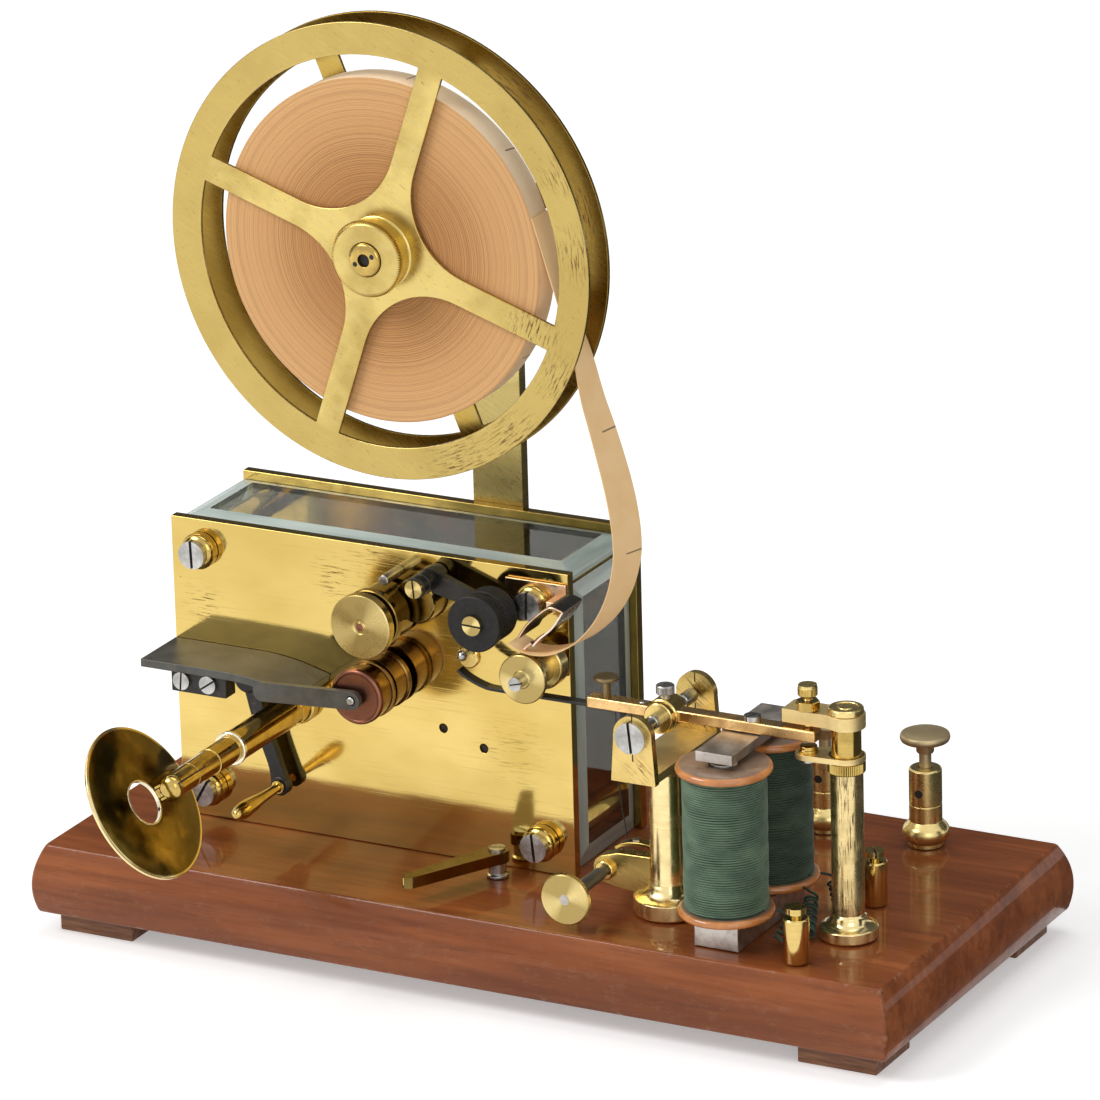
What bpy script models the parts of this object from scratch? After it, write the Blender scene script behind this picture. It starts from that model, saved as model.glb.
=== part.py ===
"""Telegraph ink writer: a clockwork paper-tape recorder worked by an electromagnet.

The case frame has its corner at the foot of the front plate: X runs right along
the plate, Y runs from the plate's front face into the case, and Z runs up from
the board's top. Everything is placed in that frame through one parent empty.
"""
from math import acos, atan2, cos, hypot, pi, radians, sin

import bmesh
import bpy
from mathutils import Vector

# General fits
GAP = 0.0003
OVERRUN = 0.002
MERGE = 0.00001
FINE = 28
ROUND = 20
SMALL = 14
TINY = 10
RIM = 48
PAPER_STEPS = 44

# Board and feet
MAGNET_SIDE = 0.1461
BOARD_WIDTH = 0.157
BOARD_THICKNESS = 0.0255
BOARD_BULGE = 0.0045
BOARD_STEPS = 8
BULGE_HEIGHT_SHARE = 0.38
FOOT_LENGTH = 0.030
FOOT_WIDTH = 0.027
FOOT_HEIGHT = 0.0081
FOOT_INSET = 0.0030

# Case between the two brass plates
CASE_LENGTH = 0.160
CASE_DEPTH = 0.0557
CASE_HEIGHT = 0.1135
CASE_LEFT = 0.0339
CASE_FRONT = 0.0528
BOARD_LENGTH = CASE_LEFT + CASE_LENGTH + MAGNET_SIDE
PLATE_THICKNESS = 0.004
BACK_PLATE_RISE = 0.001
INNER_DEPTH = CASE_DEPTH - 2 * PLATE_THICKNESS
GLASS_THICKNESS = 0.0038
GLASS_BEVEL = 0.0045
GLASS_EDGE = 0.0015
GLASS_INSET = 0.0008

# Bolts that tie the plates together
BOLT_SIDE = 0.0125
BOLT_FOOT = 0.012
BOLT_TOP = 0.011
BOLT_HEAD_RADIUS = 0.0052
BOLT_HEAD_HEIGHT = 0.0026
BOLT_COLLAR_RADIUS = 0.0066
BOLT_COLLAR_HEIGHT = 0.0056
BOLT_SHANK_RADIUS = 0.0025
BOLT_PILLAR_RADIUS = 0.0052
BOLT_NUT_RADIUS = 0.0045
BOLT_NUT_HEIGHT = 0.0025

# Clockwork behind the front plate
ARBOR_RADIUS = 0.002
BARREL_X_SHARE = 0.2075
BARREL_Z_SHARE = 0.5154
BARREL_X = CASE_LENGTH * BARREL_X_SHARE
BARREL_Z = CASE_HEIGHT * BARREL_Z_SHARE
BARREL_START_SHARE = 0.2516
BARREL_WIDTH_SHARE = 0.461
BARREL_START = PLATE_THICKNESS + INNER_DEPTH * BARREL_START_SHARE
BARREL_WIDTH = INNER_DEPTH * BARREL_WIDTH_SHARE
BARREL_EDGE = 0.0035
GREAT_WHEEL_TEETH = 40
WHEEL_THICKNESS = 0.002
TOOTH_DEPTH = 0.0012
PINION_RADIUS = 0.004
PINION_TEETH = 8
PINION_WIDTH = 0.006
CENTRE_WHEEL_TEETH = 30
CENTRE_WHEEL_SHARE = 0.8595
CENTRE_WHEEL_DEPTH = PLATE_THICKNESS + INNER_DEPTH * CENTRE_WHEEL_SHARE
THIRD_WHEEL_RADIUS = 0.021
THIRD_WHEEL_TEETH = 32
THIRD_WHEEL_SHARE = 0.398
THIRD_WHEEL_DEPTH = PLATE_THICKNESS + INNER_DEPTH * THIRD_WHEEL_SHARE
MESH_GAP = 0.0004
GREAT_REACH_SHARE = 0.578
CENTRE_REACH_SHARE = 0.438
GOVERNOR_PINION_RADIUS = 0.003
GOVERNOR_ANGLE = -10.0
FAN_RADIUS = 0.013
FAN_THICKNESS = 0.0012
FAN_START_SHARE = 0.545
FAN_WIDTH_SHARE = 0.2935
FAN_START = PLATE_THICKNESS + INNER_DEPTH * FAN_START_SHARE
FAN_WIDTH = INNER_DEPTH * FAN_WIDTH_SHARE

# Feed rollers in front of the plate
ROLLER_FRONT = 0.024
ROLLER_BACK = 0.002
LOWER_ROLLER_X_SHARE = 0.5444
LOWER_ROLLER_Z_SHARE = 0.5744
LOWER_ROLLER_X = CASE_LENGTH * LOWER_ROLLER_X_SHARE
LOWER_ROLLER_Z = CASE_HEIGHT * LOWER_ROLLER_Z_SHARE
LOWER_ROLLER_RADIUS = 0.0102
LOWER_ROLLER_RIM = 0.0106
LOWER_GROOVE_RADIUS = 0.0086
LOWER_GROOVE_START = 0.0145
LOWER_GROOVE_WIDTH = 0.002
ROLLER_LEAN = 0.0026
ROLLER_RISE = 0.0267
UPPER_ROLLER_X = LOWER_ROLLER_X + ROLLER_LEAN
UPPER_ROLLER_Z = LOWER_ROLLER_Z + ROLLER_RISE
UPPER_ROLLER_RADIUS = 0.01185
UPPER_DISC_THICKNESS = 0.004
UPPER_GROOVE_RADIUS = 0.0085
UPPER_GROOVE_WIDTH = 0.003
UPPER_SECOND_RADIUS = 0.0114
UPPER_SECOND_THICKNESS = 0.0035
UPPER_DRUM_RADIUS = 0.0102
INNER_STUB = 0.004
AXES_APART = hypot(LOWER_ROLLER_X - BARREL_X, LOWER_ROLLER_Z - BARREL_Z)
GREAT_WHEEL_RADIUS = AXES_APART * GREAT_REACH_SHARE - PINION_RADIUS - MESH_GAP
CENTRE_WHEEL_RADIUS = AXES_APART * CENTRE_REACH_SHARE - PINION_RADIUS - MESH_GAP
BARREL_RADIUS = GREAT_WHEEL_RADIUS - BARREL_EDGE

# Tape table, its block and the fork arm that carries the lower roller
TABLE_THICKNESS = 0.003
TABLE_DEPTH = 0.025
TABLE_RISE = 0.0022
TABLE_SETBACK = 0.0241
TABLE_KNEE_SHARE = 0.587
TABLE_TOP = LOWER_ROLLER_Z + TABLE_RISE
TABLE_END_X = LOWER_ROLLER_X - TABLE_SETBACK
TABLE_KNEE_X = TABLE_END_X * TABLE_KNEE_SHARE
TABLE_END_DROP = 0.0048
TABLE_MID_SHARES = (0.5, 0.30)
BLOCK_SHARE = 0.19
BLOCK_X = TABLE_END_X * BLOCK_SHARE
BLOCK_LENGTH = 0.0225
BLOCK_HEIGHT = 0.0072
BLOCK_DEPTH = 0.0066
BLOCK_SETBACK = 0.001
FORK_THICKNESS = 0.0022
FORK_REACH = 0.0361
FORK_DROP = 0.0020
FORK_ROOT_X = LOWER_ROLLER_X - FORK_REACH
FORK_ROOT_Z = LOWER_ROLLER_Z - FORK_DROP
FORK_ROOT_WIDTH = 0.0066
FORK_END_RADIUS = 0.0034
FORK_PIN_RADIUS = 0.0015

# Ink roller on its lifting arm
INK_PIVOT_SHARE = 0.6813
INK_PIVOT_DROP = 0.0064
INK_ROLLER_INSET = 0.0249
INK_ROLLER_DROP = 0.0141
INK_PIVOT_X = CASE_LENGTH * INK_PIVOT_SHARE
INK_PIVOT_Z = CASE_HEIGHT - INK_PIVOT_DROP
INK_ROLLER_X = CASE_LENGTH - INK_ROLLER_INSET
INK_ROLLER_Z = CASE_HEIGHT - INK_ROLLER_DROP
INK_ROLLER_RADIUS = 0.0102
INK_FELT_RADIUS = 0.0097
INK_DISC_THICKNESS = 0.004
INK_ROLLER_BACK = 0.009
INK_ARM_THICKNESS = 0.0024
INK_ARM_WIDTH = 0.0044
INK_ARM_BACK = 0.0056
INK_BOSS_RADIUS = 0.0042
INK_BOSS_FRONT = 0.0195
INK_HEAD_RADIUS = 0.0036
INK_HEAD_HEIGHT = 0.0014

# Writing roller
WRITING_INSET = 0.0064
WRITING_DROP = 0.0317
WRITING_X = CASE_LENGTH - WRITING_INSET
WRITING_Z = CASE_HEIGHT - WRITING_DROP
WRITING_FLANGE_RADIUS = 0.009
WRITING_FLANGE_THICKNESS = 0.0024
WRITING_DRUM_RADIUS = 0.0055
WRITING_REAR_RADIUS = 0.0084
WRITING_REAR_START = 0.0100
WRITING_REAR_WIDTH = 0.006
WRITING_SCREW_RADIUS = 0.0024
WRITING_SCREW_LENGTH = 0.005

# Tape guide held by the upper right bolt: a folded strip seen along the tape's breadth
GUIDE_LINE = (
    (0.0043, -0.0060), (0.0075, -0.0012), (0.0170, 0.0067), (0.0218, 0.0057), (0.0175, -0.0007), (0.0125, -0.0053),
    (0.0097, -0.0085),
)
GUIDE_SHEET = 0.0009
GUIDE_START = 0.0075
GUIDE_DEPTH = 0.0145
GUIDE_STRAP_HEIGHT = 0.0090
GUIDE_STRAP_THICKNESS = 0.0012
GUIDE_LINK = 0.0040
GUIDE_LINK_PLACE = (0.0103, 0.0010)

# Paper tape and reel
TAPE_CENTRE = 0.017
TAPE_WIDTH = 0.0115
TAPE_THICKNESS = 0.0005
TAPE_SIDE_CLEARANCE = 0.00075
REEL_X_SHARE = 0.6419
REEL_RISE = 0.1175
REEL_X = CASE_LENGTH * REEL_X_SHARE
REEL_Z = CASE_HEIGHT + REEL_RISE
REEL_RADIUS = 0.0817
REEL_RING = 0.0115
REEL_FLANGE = 0.0015
SPOKE_HALF_WIDTH = 0.0040
SPOKE_FILLET = 0.029
FRONT_SPOKE_ANGLE = 71.2
BACK_SPOKE_ANGLE = 112.2
SPOKES = 4
PAPER_RADIUS = 0.065
HUB_RADIUS = 0.009
REEL_COLLAR_RADIUS = 0.0124
REEL_COLLAR_HEIGHT = 0.006
REEL_NUT_RADIUS = 0.0137
REEL_NUT_HEIGHT = 0.0026
AXLE_RADIUS = 0.004
AXLE_BUSH_RADIUS = 0.006
AXLE_BUSH_HEIGHT = 0.0014
AXLE_SHOULDER_RADIUS = 0.0055
AXLE_NUT_RADIUS = 0.007
AXLE_NUT_HEIGHT = 0.004
POST_WIDTH = 0.020
POST_THICKNESS = 0.005

# Winding lever
WINDING_HUB_RADIUS = 0.005
WINDING_HUB_FRONT = 0.0085
WINDING_ARM_THICKNESS = 0.0032
WINDING_ARM_BACK = 0.0033
WINDING_END_X = 0.0112
WINDING_END_DROP = 0.0395
WINDING_STUB_RADIUS = 0.0025
WINDING_SHARES = ((0.12, 0.12), (0.28, 0.32), (0.60, 0.62), (0.84, 0.82))
WINDING_WIDTHS = (0.0082, 0.0064, 0.0058, 0.0052, 0.0052, 0.0070)
HANDLE_LENGTH = 0.032
HANDLE_RADIUS = 0.0036
HANDLE_NECK_RADIUS = 0.0018
HANDLE_PIN_RADIUS = 0.0014
HANDLE_RADIUS_SHARES = ((0.93, 0.70), (0.78, 1.0), (0.62, 0.94), (0.35, 0.62))

# Take-up spool and its hinged flange
SPOOL_X_SHARE = 0.3206
SPOOL_Z_SHARE = 0.4405
SPOOL_X = CASE_LENGTH * SPOOL_X_SHARE
SPOOL_Z = CASE_HEIGHT * SPOOL_Z_SHARE
SPOOL_COLLAR_RADIUS = 0.007
SPOOL_COLLAR_WIDTH = 0.0036
SPOOL_HUB_RADIUS = 0.006
SPOOL_HUB_WIDTH = 0.006
SPOOL_RADIUS = 0.0058
SPOOL_SHOULDER = 0.050
SPOOL_BEAD_RADIUS = 0.0063
SPOOL_BEAD_WIDTH = 0.0014
SPOOL_NOSE_RADIUS = 0.0045
SPOOL_NOSE_END = 0.0955
FLANGE_RADIUS = 0.0284
FLANGE_HOLE_RADIUS = 0.0078
FLANGE_THICKNESS = 0.0013
FLANGE_ANGLE = 32.0
HINGE_REACH = 0.091
HINGE_OFFSET = 0.0064
KNUCKLE_RADIUS = 0.0014
KNUCKLE_WIDTH = 0.003
EAR_THICKNESS = 0.001
EAR_REACH = 0.0008
FLANGE_EDGE = 0.0012

# Start lever on the board
START_INSET = 0.026
START_X = CASE_LENGTH - START_INSET
START_Y = -0.0095
START_TIP_X = -0.0165
START_TIP_Y = -0.0345
START_WIDTH = 0.0086
START_TIP_WIDTH = 0.0050
START_THICKNESS = 0.0042
START_HEIGHT = 0.006
START_BOSS_RADIUS = 0.0032

# Electromagnet
MAGNET_REACH = 0.075
MAGNET_X = CASE_LENGTH + MAGNET_REACH
MAGNET_FRONT_Y = -0.0305
MAGNET_SPACING = 0.0355
CORE_BAR_WIDTH = 0.017
CORE_BAR_HEIGHT = 0.010
CORE_BAR_END = 0.0088
CORE_RADIUS = 0.005
CORE_RISE = 0.0008
BOBBIN_FLANGE_RADIUS = 0.0170
BOBBIN_FLANGE_THICKNESS = 0.0028
BOBBIN_DRUM_RADIUS = 0.0082
WINDING_WIRE_RADIUS = 0.0032
WINDING_RADIUS = 0.0117
WINDING_LOOPS = 6
LOOP_POINTS = 24
LEAST_WIRE_GAP = 0.0004

# Curly leads from the bobbins to the terminals
LEAD_WIRE_RADIUS = 0.00045
LEAD_CURL_RADIUS = 0.0021
CURL_POINTS = 8
LEAD_ROUTES = (
    ("front", "front", 0, (0.0202, 0.0080, 0.0086), (0.0192, 0.0015, 0.0034), 4),
    ("middle", "back", 0, (0.0193, -0.0085, 0.0096), (0.0270, -0.0270, 0.0034), 11),
    ("back", "back", 1, (0.0190, 0.0095, 0.0096), (0.0245, 0.0030, 0.0034), 5),
)

# Armature and its lever
ARMATURE_WIDTH = 0.014
ARMATURE_OVERHANG = 0.008
ARMATURE_THICKNESS = 0.0036
ARMATURE_GAP = 0.0018
LEVER_Y = -0.014
LEVER_DROP = 0.0095
LEVER_LEFT_REACH = 0.015
LEVER_TIP_REACH = 0.103
LEVER_LEFT_X = CASE_LENGTH + LEVER_LEFT_REACH
LEVER_TIP_X = CASE_LENGTH + LEVER_TIP_REACH
LEVER_FOOT = WRITING_Z - LEVER_DROP
ARMATURE_FOOT = LEVER_FOOT - GAP - ARMATURE_THICKNESS
CORE_TOP = ARMATURE_FOOT - ARMATURE_GAP
BOBBIN_HEIGHT = CORE_TOP - CORE_RISE - 2 * GAP - CORE_BAR_HEIGHT
LEVER_WIDTH = 0.006
LEVER_HEIGHT = 0.0042
AXLE_REACH = 0.0445
AXLE_RISE = 0.0014
AXLE_X = CASE_LENGTH + AXLE_REACH
AXLE_Z = LEVER_FOOT + AXLE_RISE
LEVER_AXLE_RADIUS = 0.0026
LEVER_BOSS_RADIUS = 0.0062
LEVER_BOSS_WIDTH = 0.012
STRIP_WIDTH = 0.004
STRIP_THICKNESS = 0.0012
STRIP_LENGTH = 0.051
STRIP_CURL_RISE = 0.0052
STRIP_FLAT_SHARE = 0.72

# Yoke and its pillar
CHEEK_SPACING = 0.045
CHEEK_THICKNESS = 0.003
CHEEK_TOP_RADIUS = 0.0082
YOKE_WIDTH = 0.017
YOKE_DROP = 0.0157
YOKE_FOOT = LEVER_FOOT - YOKE_DROP
YOKE_PLATE = 0.0033
PILLAR_RADIUS = 0.0069
PILLAR_FLANGE_RADIUS = 0.0128
PILLAR_FLANGE_HEIGHT = 0.006
PILLAR_FLARE_HEIGHT = 0.005
PILLAR_BEAD_RADIUS = 0.0077
PILLAR_BEAD_HEIGHT = 0.002
LUG_THICKNESS = 0.006
LUG_TOP = 0.0245
LUG_FOOT = 0.0055
LUG_NOSE_RADIUS = 0.0065
ADJUST_SETBACK = 0.0233
ADJUST_X = AXLE_X - ADJUST_SETBACK
ADJUST_Z = 0.0130
ADJUST_ROD_RADIUS = 0.0019
ADJUST_REACH = 0.0315
ADJUST_TAIL = 0.003
KNOB_RADIUS = 0.0095
KNOB_THICKNESS = 0.0026
SPRING_SETBACK = 0.0196
SPRING_FOOT_SETBACK = 0.0160
SPRING_X = AXLE_X - SPRING_SETBACK
SPRING_FOOT_X = AXLE_X - SPRING_FOOT_SETBACK
SPRING_WIRE_RADIUS = 0.00035
SPRING_RADIUS = 0.0016
SPRING_CURLS = 6
SPRING_TOP_SHARE = 0.70
SPRING_FOOT_SHARE = 0.45

# Contact pillar
CONTACT_REACH = 0.1115
CONTACT_X = CASE_LENGTH + CONTACT_REACH
CONTACT_Y = -0.0095
CONTACT_COLUMN_RADIUS = 0.0057
CONTACT_BASE_RADIUS = 0.0104
CONTACT_BASE_HEIGHT = 0.0042
CONTACT_FLARE_HEIGHT = 0.005
CONTACT_RING_DROP = 0.0145
CONTACT_RING_Z = LEVER_FOOT - CONTACT_RING_DROP
CONTACT_RING_HEIGHT = 0.0045
CONTACT_RING_RADIUS = 0.0066
CONTACT_NECK_RADIUS = 0.0040
LOWER_PLATE_THICKNESS = 0.0024
LOWER_PLATE_WIDTH = 0.0110
LOWER_PLATE_END = 0.0045
LOWER_STOP_RADIUS = 0.0034
CONTACT_SPACER_RADIUS = 0.0052
CONTACT_ARM_THICKNESS = 0.0048
CONTACT_ARM_WIDTH = 0.0100
CONTACT_ARM_REACH = 0.022
CONTACT_CAP_RADIUS = 0.0062
CONTACT_CAP_HEIGHT = 0.0024
CONTACT_SCREW_SETBACK = 0.013
CONTACT_SCREW_X = CONTACT_X - CONTACT_SCREW_SETBACK
CONTACT_SCREW_Y = -0.0125
CONTACT_SCREW_RADIUS = 0.0016
CONTACT_NUT_RADIUS = 0.0045
CONTACT_NUT_HEIGHT = 0.0036
CONTACT_HEAD_RADIUS = 0.0040
CONTACT_HEAD_HEIGHT = 0.0036
CONTACT_NECK_LENGTH = 0.0020
STRIKE_ANGLE = 1.8

# Binding posts and small terminals
POST_INSETS = ((0.0471, 0.0242), (0.0861, 0.0252))
BINDING_BULB_RADIUS = 0.0085
BINDING_BULB_HEIGHT = 0.0085
BINDING_RADIUS = 0.0059
BINDING_HEIGHT = 0.0295
BINDING_BORE = 0.012
BINDING_THREAD_RADIUS = 0.0022
BINDING_HEAD_RADIUS = 0.0090
BINDING_HEAD_THICKNESS = 0.0030
BINDING_NECK_RADIUS = 0.0032
BINDING_NECK_HEIGHT = 0.0045
BINDING_LIFT = 0.0055
TERMINAL_REACHES = ((0.1053, -0.0380), (0.1070, 0.0208))
TERMINAL_RADIUS = 0.0046
TERMINAL_HEIGHT = 0.0168
TERMINAL_SCREW_RADIUS = 0.0036
TERMINAL_NECK_RADIUS = 0.0020
TERMINAL_NECK_HEIGHT = 0.0016
TERMINAL_SCREW_HEIGHT = 0.0022

# Places that follow from the sizes above
BOARD_TOP = FOOT_HEIGHT + BOARD_THICKNESS
PLATE_BACK = PLATE_THICKNESS
INNER_START = PLATE_THICKNESS + GAP
INNER_END = CASE_DEPTH - PLATE_THICKNESS - GAP
BACK_FACE = CASE_DEPTH
LEVER_TOP = LEVER_FOOT + LEVER_HEIGHT
FLANGE_CENTRE_REACH = HINGE_REACH + FLANGE_HOLE_RADIUS + FLANGE_EDGE
FRONT_REACH = FLANGE_CENTRE_REACH + FLANGE_RADIUS
BOARD_BACK = BOARD_WIDTH - CASE_FRONT
BOARD_RIGHT = BOARD_LENGTH - CASE_LEFT
POST_PLACES = [(BOARD_RIGHT - x, BOARD_BACK - y) for x, y in POST_INSETS]
TERMINAL_PLACES = [(CASE_LENGTH + x, y) for x, y in TERMINAL_REACHES]
PLATE_WORLD_Y = (FRONT_REACH - BOARD_BACK) / 2
PLATE_WORLD_X = CASE_LEFT - BOARD_LENGTH / 2


def fresh_scene():
    """Empties the scene and makes the collections for parts and cutters."""
    for old in list(bpy.data.objects):
        bpy.data.objects.remove(old)
    made = []
    for title in ("telegraph_ink_writer", "cutters"):
        group = bpy.data.collections.new(title)
        bpy.context.scene.collection.children.link(group)
        made.append(group)
    return made


PARTS, CUTTERS = fresh_scene()

case_frame = bpy.data.objects.new("case_frame", None)
case_frame.location = (PLATE_WORLD_X, PLATE_WORLD_Y, BOARD_TOP)
PARTS.objects.link(case_frame)


def finish(name, colour, roughness, metallic):
    """One plain Principled material."""
    made = bpy.data.materials.new(name)
    made.use_nodes = True
    shader = made.node_tree.nodes["Principled BSDF"]
    shader.inputs["Base Color"].default_value = (*colour, 1.0)
    shader.inputs["Roughness"].default_value = roughness
    shader.inputs["Metallic"].default_value = metallic
    return made


MAHOGANY = finish("mahogany", (0.20, 0.045, 0.022), 0.25, 0.0)
PALE_WOOD = finish("pale_wood", (0.33, 0.13, 0.06), 0.45, 0.0)
BRASS = finish("brass", (0.72, 0.50, 0.18), 0.25, 1.0)
OLD_BRASS = finish("old_brass", (0.62, 0.47, 0.20), 0.38, 1.0)
COPPER = finish("copper_bronze", (0.42, 0.19, 0.09), 0.35, 1.0)
STEEL = finish("bright_steel", (0.52, 0.52, 0.51), 0.30, 1.0)
DARK_STEEL = finish("dark_steel", (0.13, 0.13, 0.14), 0.42, 1.0)
IRON = finish("soft_iron", (0.34, 0.34, 0.34), 0.40, 1.0)
GLASS = finish("glass", (0.62, 0.72, 0.68), 0.05, 0.0)
PAPER = finish("paper", (0.78, 0.52, 0.33), 0.85, 0.0)
SILK = finish("green_silk", (0.025, 0.10, 0.055), 0.75, 0.0)
BOBBIN_WOOD = finish("bobbin_wood", (0.55, 0.20, 0.07), 0.45, 0.0)
INK_BLACK = finish("ink_black", (0.02, 0.02, 0.022), 0.7, 0.0)


def place(item, where, facing, parent):
    """Sets an object's place under its parent. Facing turns local Z to the named way."""
    turns = {"up": (0, 0, 0), "front": (pi / 2, 0, 0), "right": (0, pi / 2, 0), "left": (0, -pi / 2, 0)}
    item.parent = parent
    item.location = where
    item.rotation_euler = turns[facing]


def add_mesh(name, mesh, material, where, facing="up", parent=case_frame, group=PARTS):
    """Puts a mesh into the scene as one named object."""
    item = bpy.data.objects.new(name, mesh)
    mesh.materials.append(material)
    group.objects.link(item)
    place(item, where, facing, parent)
    return item


def mesh_from(work, name):
    """Turns a bmesh into a mesh."""
    mesh = bpy.data.meshes.new(name)
    work.to_mesh(mesh)
    work.free()
    return mesh


def soften(item, width, segments=1):
    """Rounds the edges of a plain solid."""
    edge = item.modifiers.new("edge", "BEVEL")
    edge.width = width
    edge.segments = segments
    edge.limit_method = "ANGLE"
    return item


def block(name, size, where, material, facing="up", group=PARTS):
    """A box whose own centre is at where."""
    work = bmesh.new()
    bmesh.ops.create_cube(work, size=1.0)
    bmesh.ops.scale(work, vec=size, verts=work.verts)
    return add_mesh(name, mesh_from(work, name), material, where, facing, group=group)


def stacked(name, length, width, layers, where, material, facing="up"):
    """A slab built up in rectangles, each a height and an inset from the full outline."""
    work = bmesh.new()
    bmesh.ops.create_grid(work, x_segments=1, y_segments=1, size=1.0)
    bmesh.ops.reverse_faces(work, faces=work.faces)
    rings = [list(work.verts)]
    top = list(work.faces)
    for _ in layers[1:]:
        grown = bmesh.ops.extrude_face_region(work, geom=top)["geom"]
        rings.append([part for part in grown if isinstance(part, bmesh.types.BMVert)])
        bmesh.ops.delete(work, geom=top, context="FACES_ONLY") if len(rings) > 2 else None
        top = [part for part in grown if isinstance(part, bmesh.types.BMFace)]
    for ring, (height, inset) in zip(rings, layers):
        for vert in ring:
            vert.co.x = (length / 2 - inset) * (1 if vert.co.x > 0 else -1)
            vert.co.y = (width / 2 - inset) * (1 if vert.co.y > 0 else -1)
            vert.co.z = height
    bmesh.ops.recalc_face_normals(work, faces=work.faces)
    return add_mesh(name, mesh_from(work, name), material, where, facing)


def turned(name, profile, where, material, facing="front", steps=ROUND, parent=case_frame, group=PARTS):
    """A lathe shape from (height, radius) points, from the far end down its outer side."""
    mesh = bpy.data.meshes.new(name)
    points = [(radius, 0, height) for height, radius in profile]
    closed = profile[0][1] > 0 and profile[-1][1] > 0
    edges = [(i, i + 1) for i in range(len(points) - 1)]
    if closed:
        edges.append((len(points) - 1, 0))
    mesh.from_pydata(points, edges, [])
    item = add_mesh(name, mesh, material, where, facing, parent, group)
    lathe = item.modifiers.new("lathe", "SCREW")
    lathe.angle = 2 * pi
    lathe.steps = steps
    lathe.render_steps = steps
    lathe.use_merge_vertices = True
    lathe.merge_threshold = MERGE
    lathe.use_smooth_shade = False
    return item


def arc(centre_x, centre_y, radius, start, end, steps):
    """Points on an arc, angles in degrees."""
    angles = [radians(start + (end - start) * k / steps) for k in range(steps + 1)]
    return [(centre_x + radius * cos(a), centre_y + radius * sin(a)) for a in angles]


def circle(centre_x, centre_y, radius, steps=SMALL):
    """Points round a full circle."""
    return arc(centre_x, centre_y, radius, 0, 360, steps)[:-1]


def cut_out(name, loops, thickness, where, material, facing="front", group=PARTS):
    """A flat piece cut from sheet: the first loop is its outline and the rest are holes."""
    sheet = bpy.data.curves.new(name, "CURVE")
    sheet.dimensions = "2D"
    sheet.fill_mode = "BOTH"
    sheet.extrude = thickness / 2
    for loop in loops:
        line = sheet.splines.new("POLY")
        line.points.add(len(loop) - 1)
        for point, (x, y) in zip(line.points, loop):
            point.co = (x, y, 0, 1)
        line.use_cyclic_u = True
    sheet.materials.append(material)
    item = bpy.data.objects.new(name, sheet)
    group.objects.link(item)
    place(item, where, facing, case_frame)
    return item


def wire(name, points, radius, where, material, resolution=1):
    """A round wire through the points."""
    path = bpy.data.curves.new(name, "CURVE")
    path.dimensions = "3D"
    path.bevel_depth = radius
    path.bevel_resolution = resolution
    path.use_fill_caps = True
    line = path.splines.new("POLY")
    line.points.add(len(points) - 1)
    for point, co in zip(line.points, points):
        point.co = (*co, 1)
    path.materials.append(material)
    item = bpy.data.objects.new(name, path)
    PARTS.objects.link(item)
    place(item, where, "up", case_frame)
    return item


def solid(item):
    """Makes a curve or a lathe shape a plain mesh object of the same name."""
    bpy.context.view_layer.update()
    depsgraph = bpy.context.evaluated_depsgraph_get()
    mesh = bpy.data.meshes.new_from_object(item.evaluated_get(depsgraph))
    work = bmesh.new()
    work.from_mesh(mesh)
    bmesh.ops.remove_doubles(work, verts=work.verts, dist=MERGE)
    work.to_mesh(mesh)
    work.free()
    name = item.name
    material = mesh.materials[0]
    mesh.materials.clear()
    mesh.materials.append(material)
    made = bpy.data.objects.new(name + "_solid", mesh)
    item.users_collection[0].objects.link(made)
    made.parent = item.parent
    made.matrix_parent_inverse = item.matrix_parent_inverse.copy()
    made.matrix_world = item.matrix_world.copy()
    bpy.data.objects.remove(item)
    made.name = name
    return made


def as_tool(item):
    """Moves an object to the cutters."""
    for group in list(item.users_collection):
        group.objects.unlink(item)
    CUTTERS.objects.link(item)
    item.hide_render = True
    item.display_type = "WIRE"
    return item


def boolean(item, tool, operation):
    """Joins a tool to a solid, or cuts it away."""
    step = item.modifiers.new(operation.lower(), "BOOLEAN")
    step.operation = operation
    step.object = as_tool(tool)
    return item


def ribbon(points, widths, round_end=0):
    """The outline of a bar that follows a line, with its width at each point."""
    left = []
    right = []
    for k, (x, y) in enumerate(points):
        before = points[max(k - 1, 0)]
        after = points[min(k + 1, len(points) - 1)]
        along_x = after[0] - before[0]
        along_y = after[1] - before[1]
        length = hypot(along_x, along_y)
        side_x = -along_y / length * widths[k] / 2
        side_y = along_x / length * widths[k] / 2
        left.append((x + side_x, y + side_y))
        right.append((x - side_x, y - side_y))
    end = []
    if round_end:
        heading = atan2(points[-1][1] - points[-2][1], points[-1][0] - points[-2][0]) * 180 / pi
        end = arc(points[-1][0], points[-1][1], widths[-1] / 2, heading - 90, heading + 90, round_end)[1:-1]
    return right + end + left[::-1]


def rounded_bar(start, end, start_radius, end_radius, steps=8):
    """The outline of a bar with two round ends."""
    heading = atan2(end[1] - start[1], end[0] - start[0]) * 180 / pi
    spread = hypot(end[0] - start[0], end[1] - start[1])
    lean = acos((start_radius - end_radius) / spread) * 180 / pi
    far = arc(end[0], end[1], end_radius, heading - lean, heading + lean, steps)
    near = arc(start[0], start[1], start_radius, heading + lean, heading + 360 - lean, steps)
    return far + near


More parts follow.
